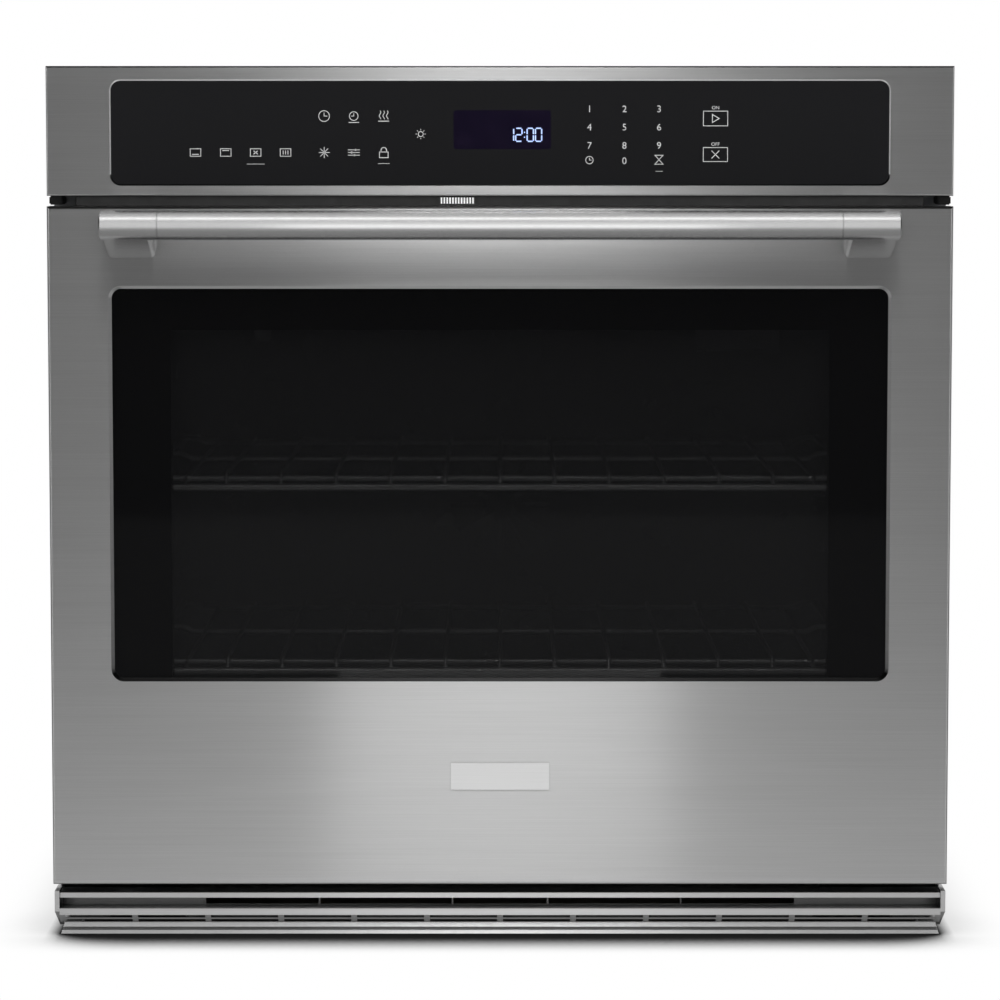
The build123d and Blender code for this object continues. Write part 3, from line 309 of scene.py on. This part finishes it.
for panel, turn in (("left_side_panel", -90), ("right_side_panel", 90)):
    low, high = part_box(panel)
    outer = low.x if turn < 0 else high.x
    for rise in (0.05, 0.27, 0.5, 0.73, 0.95):
        case_screw(outer, high.y - screw_inset, low.z + rise * (high.z - low.z), turn)
    for run in (0.2, 0.5, 0.8):
        case_screw(outer, low.y + run * (high.y - low.y), low.z + screw_inset, turn)
low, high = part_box("top_cover")
for side in (low.x + screw_inset, high.x - screw_inset):
    for run in (0.12, 0.4, 0.68, 0.96):
        case_screw(side, low.y + run * (high.y - low.y), high.z, 0)
for share in (0.3, 0.5, 0.7):
    case_screw(low.x + share * (high.x - low.x), high.y - screw_inset, high.z, 0)
case_screws = shape("case_screws", screw_form)
case_screws.data.materials.append(plated)
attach(case_screws, "chassis")

# Cavity: drawn steel sheets coated with dark porcelain enamel that has pale specks in it.
# The door liner and the fan cover have the same coat.
enamel, tree, body = finish("speckled_enamel", (0.008, 0.0085, 0.01), 0.0, 0.22)
body.inputs["Specular IOR Level"].default_value = 0.3
tint(tree, body, noise(tree, 900, 1.0), (0.006, 0.0065, 0.008), (0.2, 0.21, 0.24), 0.7, 0.78)
roughen(tree, body, noise(tree, 30), 0.18, 0.3)
relief(tree, body, noise(tree, 140, 2.0), 0.12, 0.0006)
dress(enamel, "cavity_wrap", "cavity_floor", "cavity_back", "convection_baffle", "door_liner")


# Door gasket: a braided glass-fibre tube held round the mouth of the cavity by clips.
# It is a round tube on one closed line with wide corners.
def tube(name, lines, radius, closed=False, sides=5):
    curve = bpy.data.curves.new(name, "CURVE")
    curve.dimensions = "3D"
    curve.bevel_depth = radius
    curve.bevel_resolution = sides
    curve.use_fill_caps = True
    for points in lines:
        spline = curve.splines.new("POLY")
        spline.points.add(len(points) - 1)
        for slot, point in zip(spline.points, points):
            slot.co = (*point, 1)
        spline.use_cyclic_u = closed
    drawn = bpy.data.objects.new(name + "_line", curve)
    mesh = bpy.data.meshes.new_from_object(drawn)
    mesh.name = name
    bpy.data.objects.remove(drawn)
    made = bpy.data.objects.new(name, mesh)
    bpy.context.scene.collection.objects.link(made)
    for face in mesh.polygons:
        face.use_smooth = True
    return made


def rounded(points, radius, steps=6):
    # The line through the points with each inner corner turned into an arc.
    line = [Vector(points[0])]
    for before, corner, after in zip(points, points[1:], points[2:]):
        corner = Vector(corner)
        back = (Vector(before) - corner).normalized()
        on = (Vector(after) - corner).normalized()
        half = back.angle(on) / 2
        run = radius / math.tan(half)
        middle = corner + (back + on).normalized() * (radius / math.sin(half))
        start = corner + back * run - middle
        end = corner + on * run - middle
        sweep = math.pi - 2 * half
        for k in range(steps + 1):
            a = k / steps
            turn = (start * math.sin((1 - a) * sweep) + end * math.sin(a * sweep)) / math.sin(sweep)
            line.append(middle + turn)
    line.append(Vector(points[-1]))
    return line


braid, tree, body = finish("gasket_braid", (0.05, 0.05, 0.048), 0.0, 0.85)
weave = []
for lean in (1, -1):
    bands = tree.nodes.new("ShaderNodeTexWave")
    bands.inputs["Scale"].default_value = 160
    bands.inputs["Distortion"].default_value = 1.0
    turned = tree.nodes.new("ShaderNodeMapping")
    turned.inputs["Rotation"].default_value = (0, math.radians(45 * lean), 0)
    tree.links.new(placed(tree, 1), turned.inputs["Vector"])
    tree.links.new(turned.outputs[0], bands.inputs["Vector"])
    weave.append(bands.outputs["Fac"])
crossed = reckon(tree, "MAXIMUM", *weave)
tint(tree, body, crossed, (0.025, 0.025, 0.024), (0.11, 0.11, 0.105))
relief(tree, body, crossed, 0.5, 0.0005)
braid_radius, braid_corner = 0.0031, 0.034
low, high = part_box("door_gasket")
gasket_y = (low.y + high.y) / 2
left, right = low.x + braid_radius, high.x - braid_radius
foot, top = low.z + braid_radius, high.z - braid_radius
ring = [(0, foot), (right, foot), (right, top), (left, top), (left, foot), (0, foot)]
gasket_line = rounded([(x, gasket_y, z) for x, z in ring], braid_corner, 10)[:-1]
gasket = tube("door_gasket_braid", [gasket_line], braid_radius, closed=True)
gasket.data.materials.append(braid)
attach(gasket, "chassis")
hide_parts("door_gasket")

# Glass wool: yellow blankets round the cavity and pads in the door, cut from rolls.
# They are closed in by the sheets and seen only at the air slots.
wool, tree, body = finish("glass_wool", (0.72, 0.6, 0.32), 0.0, 0.95)
fibre = noise(tree, (500, 60, 500), 6.0)
tint(tree, body, fibre, (0.55, 0.43, 0.2), (0.85, 0.75, 0.45))
relief(tree, body, fibre, 0.8, 0.002)
dress(wool, "insulation_wrap", "insulation_back", "door_insulation")

# Heaters: steel-sheathed rods, oxidised dark by use, under the floor, under the ceiling
# and round the fan, whose stamped wheel is as dark as they are.
sheath, tree, body = finish("oxidised_sheath", (0.12, 0.11, 0.105), 0.9, 0.5)
scale = noise(tree, 120, 5.0)
tint(tree, body, scale, (0.07, 0.065, 0.062), (0.2, 0.185, 0.17))
roughen(tree, body, scale, 0.38, 0.65)
relief(tree, body, scale, 0.2, 0.0003)
dress(sheath, "bake_element", "broil_element", "convection_element", "convection_fan")

# Motors, blower wheel, probe, hinge steel and latch hook: bright stamped and turned steel
# with fine tool marks.
steel, tree, body = finish("bright_steel", (0.5, 0.5, 0.51), 1.0, 0.32)
marks = noise(tree, (40, 40, 700), 4.0)
tint(tree, body, marks, (0.42, 0.42, 0.43), (0.58, 0.58, 0.59))
roughen(tree, body, marks, 0.25, 0.42)
relief(tree, body, marks, 0.1, 0.0002)
dress(
    steel, "convection_motor", "cooling_motor", "cooling_wheel", "temperature_probe",
    "hinge_arms", "hinge_pins", "hinge_springs", "latch_hook",
)

# Lamp glass, bulb and inner door panes: clear pressed and float glass. The panes sit in a frame
# inside the door, the lamp glass is screwed over the socket in the cavity wall.
clear, tree, body = finish("clear_glass", (0.52, 0.53, 0.525), 0.0, 0.04)
body.inputs["Alpha"].default_value = 0.05
body.inputs["IOR"].default_value = 1.45
roughen(tree, body, noise(tree, 9), 0.02, 0.07)
dress(clear, "lamp_lens", "lamp_bulb", "inner_glass_panes")

# Electrics: green circuit boards, black moulded housings for terminals, cut-out, latch motor
# and the tray behind the control glass.
board, tree, body = finish("circuit_board", (0.02, 0.12, 0.05), 0.0, 0.4)
tracks = tree.nodes.new("ShaderNodeTexBrick")
tracks.inputs["Scale"].default_value = 1.0
tracks.inputs["Color1"].default_value = (0.015, 0.1, 0.045, 1)
tracks.inputs["Color2"].default_value = (0.02, 0.13, 0.055, 1)
tracks.inputs["Mortar"].default_value = (0.12, 0.3, 0.12, 1)
tree.links.new(placed(tree, 130), tracks.inputs["Vector"])
tree.links.new(tracks.outputs["Color"], body.inputs["Base Color"])
relief(tree, body, tracks.outputs["Fac"], 0.2, 0.0002)
dress(board, "power_board", "touch_board")
moulded, tree, body = finish("black_moulding", (0.02, 0.02, 0.021), 0.0, 0.55)
grain = noise(tree, 700, 2.0)
roughen(tree, body, grain, 0.45, 0.65)
relief(tree, body, grain, 0.25, 0.0002)
dress(moulded, "terminal_block", "thermal_cutoff", "latch_motor", "control_carrier")


# Front frame: black painted plate behind the door that all the front pieces are screwed to.
# It is seen dark in the gaps above and below the door. In the upper gap a narrow band is painted a little
# greyer as painted light, and above it the paint is darker as the fascia's painted shadow.
def greys(tree, value, *stops):
    # A ramp of greys through the given places and levels.
    ramp = tree.nodes.new("ShaderNodeValToRGB")
    for place, level in stops[2:]:
        ramp.color_ramp.elements.new(place)
    for stop, (place, level) in zip(ramp.color_ramp.elements, stops):
        stop.position = place
        stop.color = (level, level, level, 1)
    tree.links.new(value, ramp.inputs["Fac"])
    return ramp.outputs["Color"]


paint, tree, body = finish("black_paint", (0.01, 0.01, 0.01), 0.0, 0.42)
body.inputs["Specular IOR Level"].default_value = 0.08
# Painted light and shade: a slightly greyer band where light reaches the frame in the upper gap, and darker
# paint above it in the fascia's shadow.
painted_light_band = ((0.6165, 0.01), (0.617, 0.02), (0.6212, 0.02), (0.6216, 0.004))
rise = axes(tree, placed(tree, 1))["Z"]
tree.links.new(greys(tree, rise, *painted_light_band), body.inputs["Base Color"])
peel = noise(tree, 220)
roughen(tree, body, peel, 0.34, 0.5)
relief(tree, body, peel, 0.15, 0.0003)
dress(paint, "front_frame", "frame_feet")

# Gap stops: moulded blocks of black rubber pressed onto the frame. They close the two ends of
# the gap between the fascia and the door.
fascia_low, fascia_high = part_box("control_fascia")
door_low, door_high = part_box("door_skin")
stop_width, stop_depth, stop_play, stop_edge = 0.011, 0.033, 0.0012, 0.001
stop_x, stop_y = fascia_high.x - 0.0068, -0.0185
stop_z = (fascia_low.z + door_high.z) / 2 + 0.0005
stop_size = (stop_width, stop_depth, fascia_low.z - door_high.z - stop_play)
stop_form = bmesh.new()
for side in (-1, 1):
    made = bmesh.ops.create_cube(stop_form, size=1)["verts"]
    bmesh.ops.scale(stop_form, vec=stop_size, verts=made)
    bmesh.ops.translate(stop_form, vec=(side * stop_x, stop_y, stop_z), verts=made)
bmesh.ops.bevel(stop_form, geom=stop_form.edges[:], offset=stop_edge, segments=2, affect="EDGES")
gap_stops = shape("gap_stops", stop_form)
rubber, tree, body = finish("black_rubber", (0.012, 0.012, 0.012), 0.0, 0.6)
roughen(tree, body, noise(tree, 300), 0.5, 0.7)
gap_stops.data.materials.append(rubber)
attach(gap_stops, "chassis")

# Ribbed insert: a small moulding clipped to the frame in the gap over the door. Its teeth are painted
# pale at the front as painted light, and the grooves between them are painted near black as shade.
ribs, tree, body = finish("painted_light_moulding", (0.8, 0.8, 0.8), 0.0, 0.3)
low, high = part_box("vent_comb")
tooth_front, tooth_back = low.y + 0.0001, low.y + 0.0006
tooth_painted_light, groove_painted_shade = 0.9, 0.02
deep = axes(tree, placed(tree, 1))["Y"]
# Painted light and shade: pale on the teeth's front faces, near black deeper in the grooves.
teeth_light_and_groove_shade = spread(tree, deep, tooth_front, tooth_back, tooth_painted_light, groove_painted_shade)
tree.links.new(teeth_light_and_groove_shade, body.inputs["Base Color"])
roughen(tree, body, noise(tree, 300), 0.22, 0.4)
dress(ribs, "vent_comb")


# Vent trim and its cheeks: stainless sheet folded into the grille under the door and screwed to
# the frame, brushed along its length like the other steel at the front.
def scaled(tree, color, level):
    part = tree.nodes.new("ShaderNodeVectorMath")
    part.operation = "SCALE"
    tree.links.new(color, part.inputs[0])
    tree.links.new(level, part.inputs["Scale"])
    return part.outputs[0]


def brushed(name, tone, roughness, streak, vary=0.02, edge=0.05, nook=0.3, turn=(0.06, 0.3), near=0.08):
    # Steel with fine lines along X and painted shade: its colour falls to the edge level where the sheet
    # turns upward, rises a little where it lies flat, and falls to the nook level in hollows narrower than
    # near.
    color = (tone, tone, tone)
    mat, tree, body = finish(name, color, 1.0, roughness)
    both = tree.nodes.new("ShaderNodeMix")
    both.inputs["Factor"].default_value = 0.2
    tree.links.new(noise(tree, (10, 10, 2200), 4.0), both.inputs["A"])
    tree.links.new(noise(tree, (5, 5, 60), 2.0), both.inputs["B"])
    lines = both.outputs["Result"]
    dark = tuple(c * (1 - streak) for c in color)
    light = tuple(min(1, c * (1 + streak)) for c in color)
    # Painted shade: the colour is darkened by how far each face turns upward, and by occlusion in hollows.
    faced = tree.nodes.new("ShaderNodeNewGeometry")
    upward = axes(tree, faced.outputs["Normal"])["Z"]
    upturn_shade = ((turn[0], 1), (turn[1], edge), (0.93, edge), (0.985, max(edge, 0.6)))
    hollow = tree.nodes.new("ShaderNodeAmbientOcclusion")
    hollow.samples = 6
    hollow.inputs["Distance"].default_value = near
    hollow_shade = between(tree, hollow.outputs["AO"], nook, 1.0)
    painted_shade = reckon(tree, "MULTIPLY", greys(tree, upward, *upturn_shade), hollow_shade)
    shaded = scaled(tree, tones(tree, lines, dark, light, 0.35, 0.65), painted_shade)
    tree.links.new(shaded, body.inputs["Base Color"])
    roughen(tree, body, lines, roughness - vary, roughness + vary)
    body.inputs["Anisotropic"].default_value = 0.95
    grain = tree.nodes.new("ShaderNodeTangent")
    grain.direction_type = "RADIAL"
    grain.axis = "X"
    tree.links.new(grain.outputs[0], body.inputs["Tangent"])
    return mat


# Painted shade darkens the grille's upward-facing shelves and its narrow recess.
trim_steel = brushed("trim_stainless", 0.54, 0.31, 0.03, nook=0.1, turn=(0.5, 0.8), near=0.014)
dress(trim_steel, "vent_trim", "vent_end_caps")

# Control fascia and door front: stainless sheet with pressed openings and folded edges, brushed
# across. The fascia is screwed to the frame, the door front to the door liner.
# Painted shade darkens the upturned edges and the steel close round the handle and the window rim.
face_steel = brushed("brushed_stainless", 0.60, 0.31, 0.04)
dress(face_steel, "control_fascia", "door_skin")

# Control glass: one sheet of black glass let into the fascia, screen printed from behind,
# with a dark violet display behind it.
touch_glass, tree, body = finish("black_touch_glass", (0.012, 0.012, 0.013), 0.0, 0.06)
roughen(tree, body, noise(tree, 12), 0.04, 0.09)
dress(touch_glass, "control_glass")
dark_screen, tree, body = finish("display_face", (0.012, 0.01, 0.02), 0.0, 0.1)
roughen(tree, body, noise(tree, 40), 0.06, 0.14)
dress(dark_screen, "display_module")

# Glass rim: the edge of the opening over and beside the glass, turned in and polished, so that
# it shows as a thin pale line against the brushed face.
low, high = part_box("control_glass")
fascia_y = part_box("control_fascia")[0].y
rim_corner, rim_gap = 0.008, 0.00025
rim_outer, rim_inner = 0.0011, 0.00005
rim_proud, rim_deep = 0.00003, 0.0004


def rim_line(form, grow, y):
    radius = rim_corner + grow
    across, top = high.x + rim_gap + grow, high.z + rim_gap + grow
    quarter = [math.radians(90 - 11.25 * k) for k in range(9)]
    bend = [(across + radius * (math.cos(a) - 1), top + radius * (math.sin(a) - 1)) for a in quarter]
    line = bend + [(across, low.z + rim_corner)]
    line = [(-x, z) for x, z in line[::-1]] + line
    return [form.verts.new((x, y, z)) for x, z in line]


rim_form = bmesh.new()
outside = rim_line(rim_form, rim_outer, fascia_y - rim_proud)
inside = rim_line(rim_form, rim_inner, fascia_y + rim_deep)
for k in range(len(outside) - 1):
    rim_form.faces.new((inside[k], inside[k + 1], outside[k + 1], outside[k]))
glass_rim = shape("glass_rim", rim_form)
polished, tree, body = finish("polished_edge", (0.8, 0.8, 0.8), 1.0, 0.42)
roughen(tree, body, noise(tree, 200), 0.38, 0.46)
glass_rim.data.materials.append(polished)
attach(glass_rim, "chassis")

# Printed marks: white ink on the glass. Numbers on the keypad, plain signs for the other
# touch places, and two framed keys.
glass_low, glass_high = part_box("control_glass")
ink_y = glass_low.y - 0.00006
hair, fine, thin, thick = 0.0004, 0.0005, 0.0006, 0.0007
mitre_least, capital_share = 0.35, 0.69


def stroke(form, points, width, closed=False):
    # A flat ribbon of ink along the points, with mitred corners.
    ends = [Vector(p) for p in points]
    count = len(ends)
    left = []
    right = []
    for k in range(count):
        before = ends[k - 1] if k or closed else ends[k]
        after = ends[(k + 1) % count] if k < count - 1 or closed else ends[k]
        into = (ends[k] - before).normalized() if before != ends[k] else (after - ends[k]).normalized()
        out = (after - ends[k]).normalized() if after != ends[k] else into
        way = (into + out).normalized()
        side = Vector((-way.y, way.x))
        reach = width / 2 / max(mitre_least, side.dot(Vector((-into.y, into.x))))
        left.append(form.verts.new((ends[k].x + side.x * reach, ink_y, ends[k].y + side.y * reach)))
        right.append(form.verts.new((ends[k].x - side.x * reach, ink_y, ends[k].y - side.y * reach)))
    for k in range(count if closed else count - 1):
        n = (k + 1) % count
        form.faces.new((left[k], right[k], right[n], left[n]))


def circle(x, z, radius, count=20):
    turns = [2 * math.pi * k / count for k in range(count)]
    return [(x + radius * math.cos(a), z + radius * math.sin(a)) for a in turns]


def corners(left, low, right, high):
    return [(left, low), (right, low), (right, high), (left, high)]


def write(form, words, x, z, height):
    text = bpy.data.curves.new("words", "FONT")
    text.body = words
    text.size = height / capital_share
    text.align_x = "CENTER"
    drawn = bpy.data.objects.new("words", text)
    mesh = bpy.data.meshes.new_from_object(drawn)
    mesh.transform(Matrix.Translation((x, ink_y, z - height / 2)) @ Matrix.Rotation(math.pi / 2, 4, "X"))
    form.from_mesh(mesh)
    bpy.data.objects.remove(drawn)


def oven_sign(form, x, z, heat):
    # Oven outline with the place of the heat drawn in it.
    w, h = 0.0044, 0.0031
    stroke(form, corners(x - w, z - h, x + w, z + h), thin, True)
    for line in heat:
        stroke(form, [(x + a, z + b) for a, b in line], thick)


def clock_sign(form, x, z, size, hand):
    stroke(form, circle(x, z, size), thin, True)
    stroke(form, [(x, z + size * 0.65), (x, z), (x + size * hand, z)], thin)


def wave_sign(form, x, z):
    for shift in (-0.003, 0, 0.003):
        line = [(x + shift + 0.0007 * math.sin(k), z + 0.0045 - 0.0009 * k) for k in range(9)]
        stroke(form, line, thin)
    stroke(form, [(x - 0.0046, z - 0.0042), (x + 0.0046, z - 0.0042)], thick)


def spokes(form, x, z, start, end, count, width):
    for k in range(count):
        c, s = math.cos(k * math.pi / 4), math.sin(k * math.pi / 4)
        stroke(form, [(x + r * c, z + r * s) for r in (start, end)], width)


upper_row, lower_row = 0.6915, 0.6613
star_x, timer_x, lock_x = -0.1464, -0.1217, -0.0968
lamp_x, lamp_z = -0.0660, 0.6766
key_columns, key_rows = (0.0745, 0.1036, 0.1324), (0.6975, 0.6824, 0.6672, 0.6545)
frame_left, frame_right, frame_x = 0.1693, 0.1895, 0.1794
digit_height, word_height = 0.0055, 0.0028
ink = bmesh.new()
low_bar, high_bar = [[(-0.0028, z), (0.0028, z)] for z in (-0.0016, 0.0016)]
cross = [[(-0.0018, -0.0014), (0.0018, 0.0014)], [(-0.0018, 0.0014), (0.0018, -0.0014)]]
comb = [[(a, -0.0016), (a, 0.0016)] for a in (-0.002, 0, 0.002)]
for x, heat in ((-0.2536, [low_bar]), (-0.2284, [high_bar]), (-0.2035, cross), (-0.1786, comb)):
    oven_sign(ink, x, lower_row, heat)
clock_sign(ink, star_x, upper_row, 0.0045, 0.6)
clock_sign(ink, timer_x, upper_row, 0.0036, -0.6)
stroke(ink, [(-0.1260, 0.6862), (-0.1174, 0.6862)], thick)
wave_sign(ink, lock_x, upper_row)
spokes(ink, star_x, lower_row, -0.0046, 0.0046, 4, thin)
for rise, knob in ((0.0022, 0.0015), (0, -0.0018), (-0.0022, 0.0006)):
    stroke(ink, [(-0.1267, lower_row + rise), (-0.1167, lower_row + rise)], thin)
    stroke(ink, circle(timer_x + knob, lower_row + rise, 0.0006, 10), thin, True)
stroke(ink, corners(-0.1004, 0.6570, -0.0932, 0.6617), thick, True)
halves = [k * math.pi / 8 for k in range(9)]
arch = [(lock_x - 0.0023 * math.cos(a), 0.6632 + 0.0023 * math.sin(a)) for a in halves]
stroke(ink, [(-0.0991, 0.6617)] + arch + [(-0.0945, 0.6617)], thick)
stroke(ink, circle(lamp_x, lamp_z, 0.0021, 14), thin, True)
spokes(ink, lamp_x, lamp_z, 0.003, 0.0043, 8, fine)
for row, z in zip(("123", "456", "789", " 0 "), key_rows):
    for digit, x in zip(row, key_columns):
        if digit != " ":
            write(ink, digit, x, z, digit_height)
clock_sign(ink, key_columns[0], 0.6550, 0.0031, 0.6)
stroke(ink, [(0.1290, 0.6590), (0.1358, 0.6590), (0.1290, 0.6516), (0.1358, 0.6516)], thin, True)
for low, high in ((0.6834, 0.6956), (0.6538, 0.6654)):
    stroke(ink, corners(frame_left, low, frame_right, high), thin, True)
stroke(ink, [(0.1768, 0.6862), (0.1768, 0.6928), (0.1824, 0.6895)], thick, True)
stroke(ink, [(0.1762, 0.6564), (0.1826, 0.6628)], thick)
stroke(ink, [(0.1762, 0.6628), (0.1826, 0.6564)], thick)
write(ink, "ON", frame_x, 0.6985, word_height)
write(ink, "OFF", frame_x, 0.6683, word_height)
for x, z, half in ((-0.2035, 0.6517, 0.0075), (-0.0968, 0.6521, 0.0048), (0.1326, 0.6457, 0.0030)):
    stroke(ink, [(x - half, z), (x + half, z)], hair)
touch_marks = shape("touch_marks", ink)
white_ink, tree, body = finish("white_ink", (0.62, 0.62, 0.62), 0.0, 0.5)
tint(tree, body, noise(tree, 900), (0.55, 0.55, 0.55), (0.7, 0.7, 0.7))
touch_marks.data.materials.append(white_ink)
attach(touch_marks, "chassis")

# Display: a violet-black window printed in the glass, and behind it a pale blue clock of four
# seven-part digits that glow.
low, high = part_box("display_module")
pane_y = glass_low.y - 0.00003
window_corner = 0.001
window_form = bmesh.new()
window_line = corners(low.x, low.z, high.x, high.z)
window_form.faces.new([window_form.verts.new((x, pane_y, z)) for x, z in window_line])
bmesh.ops.bevel(window_form, geom=window_form.verts[:], offset=window_corner, segments=3, affect="VERTICES")
display_window = shape("display_window", window_form)
violet, tree, body = finish("violet_window", (0.006, 0.004, 0.013), 0.0, 0.07)
tint(tree, body, noise(tree, 60), (0.005, 0.003, 0.012), (0.008, 0.005, 0.016))
display_window.data.materials.append(violet)
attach(display_window, "chassis")
digit_parts = {"0": "abcdef", "1": "bc", "2": "abged"}
digit_w, digit_h, part_w, part_gap = 0.0052, 0.0108, 0.0011, 0.0005
clock_z, colon_x, colon_half, colon_w = 0.6760, 0.0204, 0.0005, 0.001
w, h = digit_w / 2, digit_h / 2
spots = {
    "a": ((-w, h), (w, h)), "b": ((w, h), (w, 0)), "c": ((w, 0), (w, -h)), "d": ((w, -h), (-w, -h)),
    "e": ((-w, -h), (-w, 0)), "f": ((-w, 0), (-w, h)), "g": ((-w, 0), (w, 0)),
}
clock = bmesh.new()
for digit, x in zip("1200", (0.0088, 0.0157, 0.0252, 0.0321)):
    for part in digit_parts[digit]:
        a, b = (Vector(p) for p in spots[part])
        gap = (b - a).normalized() * part_gap
        stroke(clock, [(x + p.x, clock_z + p.y) for p in (a + gap, b - gap)], part_w)
for z in (0.6740, 0.6780):
    stroke(clock, [(colon_x - colon_half, z), (colon_x + colon_half, z)], colon_w)
clock_digits = shape("clock_digits", clock)
blue, tree, body = finish("blue_segments", (0.3, 0.38, 0.6), 0.0, 0.4)
body.inputs["Emission Color"].default_value = (0.36, 0.48, 0.86, 1)
body.inputs["Emission Strength"].default_value = 0.9
roughen(tree, body, noise(tree, 400), 0.35, 0.5)
clock_digits.data.materials.append(blue)
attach(clock_digits, "chassis")

# Door glass: a dark tinted pane of float glass, bedded behind the pressed rim of the door front.
# The racks show faintly through it.
tinted, tree, body = finish("tinted_glass", (0.004, 0.004, 0.0045), 0.0, 0.03)
body.inputs["Alpha"].default_value = 0.55
body.inputs["Specular IOR Level"].default_value = 0.25
roughen(tree, body, noise(tree, 8), 0.02, 0.05)
dress(tinted, "door_outer_glass")

# Window border: black ceramic ink baked on the back of the door glass. It hides the frame of
# the inner panes and leaves a clear field over the racks.
low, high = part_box("door_outer_glass")
field_half, field_low, field_high = 0.276, low.z + 0.006, 0.5132
border_y, border_share = high.y - 0.00002, 0.997
border_form = bmesh.new()
edge_points = corners(low.x, low.z, high.x, high.z)
field_points = corners(-field_half, field_low, field_half, field_high)
outside = [border_form.verts.new((x * border_share, border_y, z)) for x, z in edge_points]
inside = [border_form.verts.new((x, border_y, z)) for x, z in field_points]
for k in range(4):
    n = (k + 1) % 4
    border_form.faces.new((outside[k], outside[n], inside[n], inside[k]))
window_border = shape("window_border", border_form)
ceramic, tree, body = finish("ceramic_ink", (0.003, 0.003, 0.003), 0.0, 0.6)
body.inputs["Specular IOR Level"].default_value = 0.1
roughen(tree, body, noise(tree, 200), 0.5, 0.7)
window_border.data.materials.append(ceramic)
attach(window_border, "door")

# Handle: a stainless tube on two cast ends of the same width, brushed finer than the door. The
# ends are pushed into the tube and meet it at a fine joint line.
seam_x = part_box("handle_bar")[1].x
seam_half, seam_tone = 0.0008, 0.86
bar_steel = brushed("handle_stainless", 0.66, 0.22, 0.01, vary=0.005, edge=1.0, nook=1.0)
tree = bar_steel.node_tree
bar_color = tree.nodes["Principled BSDF"].inputs["Base Color"]
plain = bar_color.links[0].from_socket
aside = reckon(tree, "ABSOLUTE", axes(tree, placed(tree, 1))["X"])
seam = reckon(tree, "COMPARE", aside, seam_x, seam_half)
tree.links.new(scaled(tree, plain, spread(tree, seam, 0.0, 1.0, 1.0, seam_tone)), bar_color)
dress(bar_steel, "handle_bar", "handle_brackets")

# Door plate: a plain polished plate of stainless sheet with eased edges, on two hidden pins at
# the middle of the lower door.
low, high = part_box("door_skin")
plate_size, plate_edge = (0.0835, 0.0012, 0.0235), 0.0004
plate_proud, plate_z = 0.0005, 0.137
plate_form = bmesh.new()
bmesh.ops.create_cube(plate_form, size=1)
bmesh.ops.scale(plate_form, vec=plate_size, verts=plate_form.verts)
bmesh.ops.bevel(plate_form, geom=plate_form.edges[:], offset=plate_edge, segments=2, affect="EDGES")
bare_plate = shape("bare_plate", plate_form)
bare_plate.location = (0, low.y - plate_proud, plate_z)
# As on the door front, shade is painted into its colour on upward faces and in hollows.
plate_steel = brushed("plate_stainless", 0.72, 0.3, 0.03)
bare_plate.data.materials.append(plate_steel)
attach(bare_plate, "door")

# Racks: round chromed steel wires welded to a frame. Two rails run on the guides, three cross
# rods rise at their ends to the rails, eleven deck wires and one wire at each side bend down to
# the thick front bar.
chrome, tree, body = finish("chromed_wire", (0.62, 0.62, 0.62), 1.0, 0.16)
film = noise(tree, 60)
tint(tree, body, film, (0.6, 0.6, 0.6), (0.66, 0.66, 0.66))
roughen(tree, body, film, 0.34, 0.4)
rail_x, rack_front, rack_rear = 0.304, 0.044, 0.442
rail_radius, rod_radius, wire_radius, bar_radius = 0.003, 0.0025, 0.002, 0.0032
rail_drop, deck_rise, rail_past = 0.0045, 0.0039, 0.006
bar_lead, bar_drop, bar_inset = 0.011, 0.0068, 0.024
rod_step, rod_foot, rod_corner = 0.014, 0.0235, 0.006
wire_pitch, wire_bend, wire_past, wire_corner = 0.046957, 0.003, 0.004, 0.005
edge_inset, edge_past, edge_corner = 0.034, 0.002, 0.004
lit = []
for name, rail_z in (("upper_rack", 0.38605), ("lower_rack", 0.22705)):
    level = rail_z - rail_drop
    deck = level + deck_rise
    bend = rack_front - wire_bend
    bar = (rack_front - bar_lead, level - bar_drop)
    rail_ends = (rack_front - rail_past, rack_rear + rail_past)
    rails = [[(x, y, rail_z) for y in rail_ends] for x in (-rail_x, rail_x)]
    rods = []
    for share in (0, 0.53, 1):
        y = rack_front + share * (rack_rear - rack_front)
        half = [(rail_x, y, rail_z), (rail_x - rod_step, y, rail_z), (rail_x - rod_foot, y, level)]
        rods.append(rounded([(-x, y, z) for x, y, z in half] + half[::-1], rod_corner))
    wires = []
    for k in range(-5, 6):
        x = k * wire_pitch
        line = [(x, rack_rear + wire_past, deck), (x, bend, deck), (x, *bar)]
        wires.append(rounded(line, wire_corner))
    for x in (edge_inset - rail_x, rail_x - edge_inset):
        line = [(x, rack_rear + edge_past, level), (x, bend, level), (x, *bar)]
        wires.append(rounded(line, edge_corner))
    front = [[(bar_inset - rail_x, *bar), (rail_x - bar_inset, *bar)]]
    made = [tube(name + "_rails", rails, rail_radius), tube(name + "_rods", rods[:2], rod_radius),
            tube(name + "_rear_rod", rods[2:], rod_radius), tube(name + "_wires", wires, wire_radius),
            tube(name + "_front_bar", front, bar_radius)]
    for piece in made:
        piece.data.materials.append(chrome)
        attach(piece, name)
    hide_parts(name)
    lit += [piece.name for piece in made if not piece.name.endswith("_rear_rod")]
softbox("rack_light", (0, 0.008, 0.32), (0, 0.3, 0.32), 0.6, 0.42, 0.045, lit)
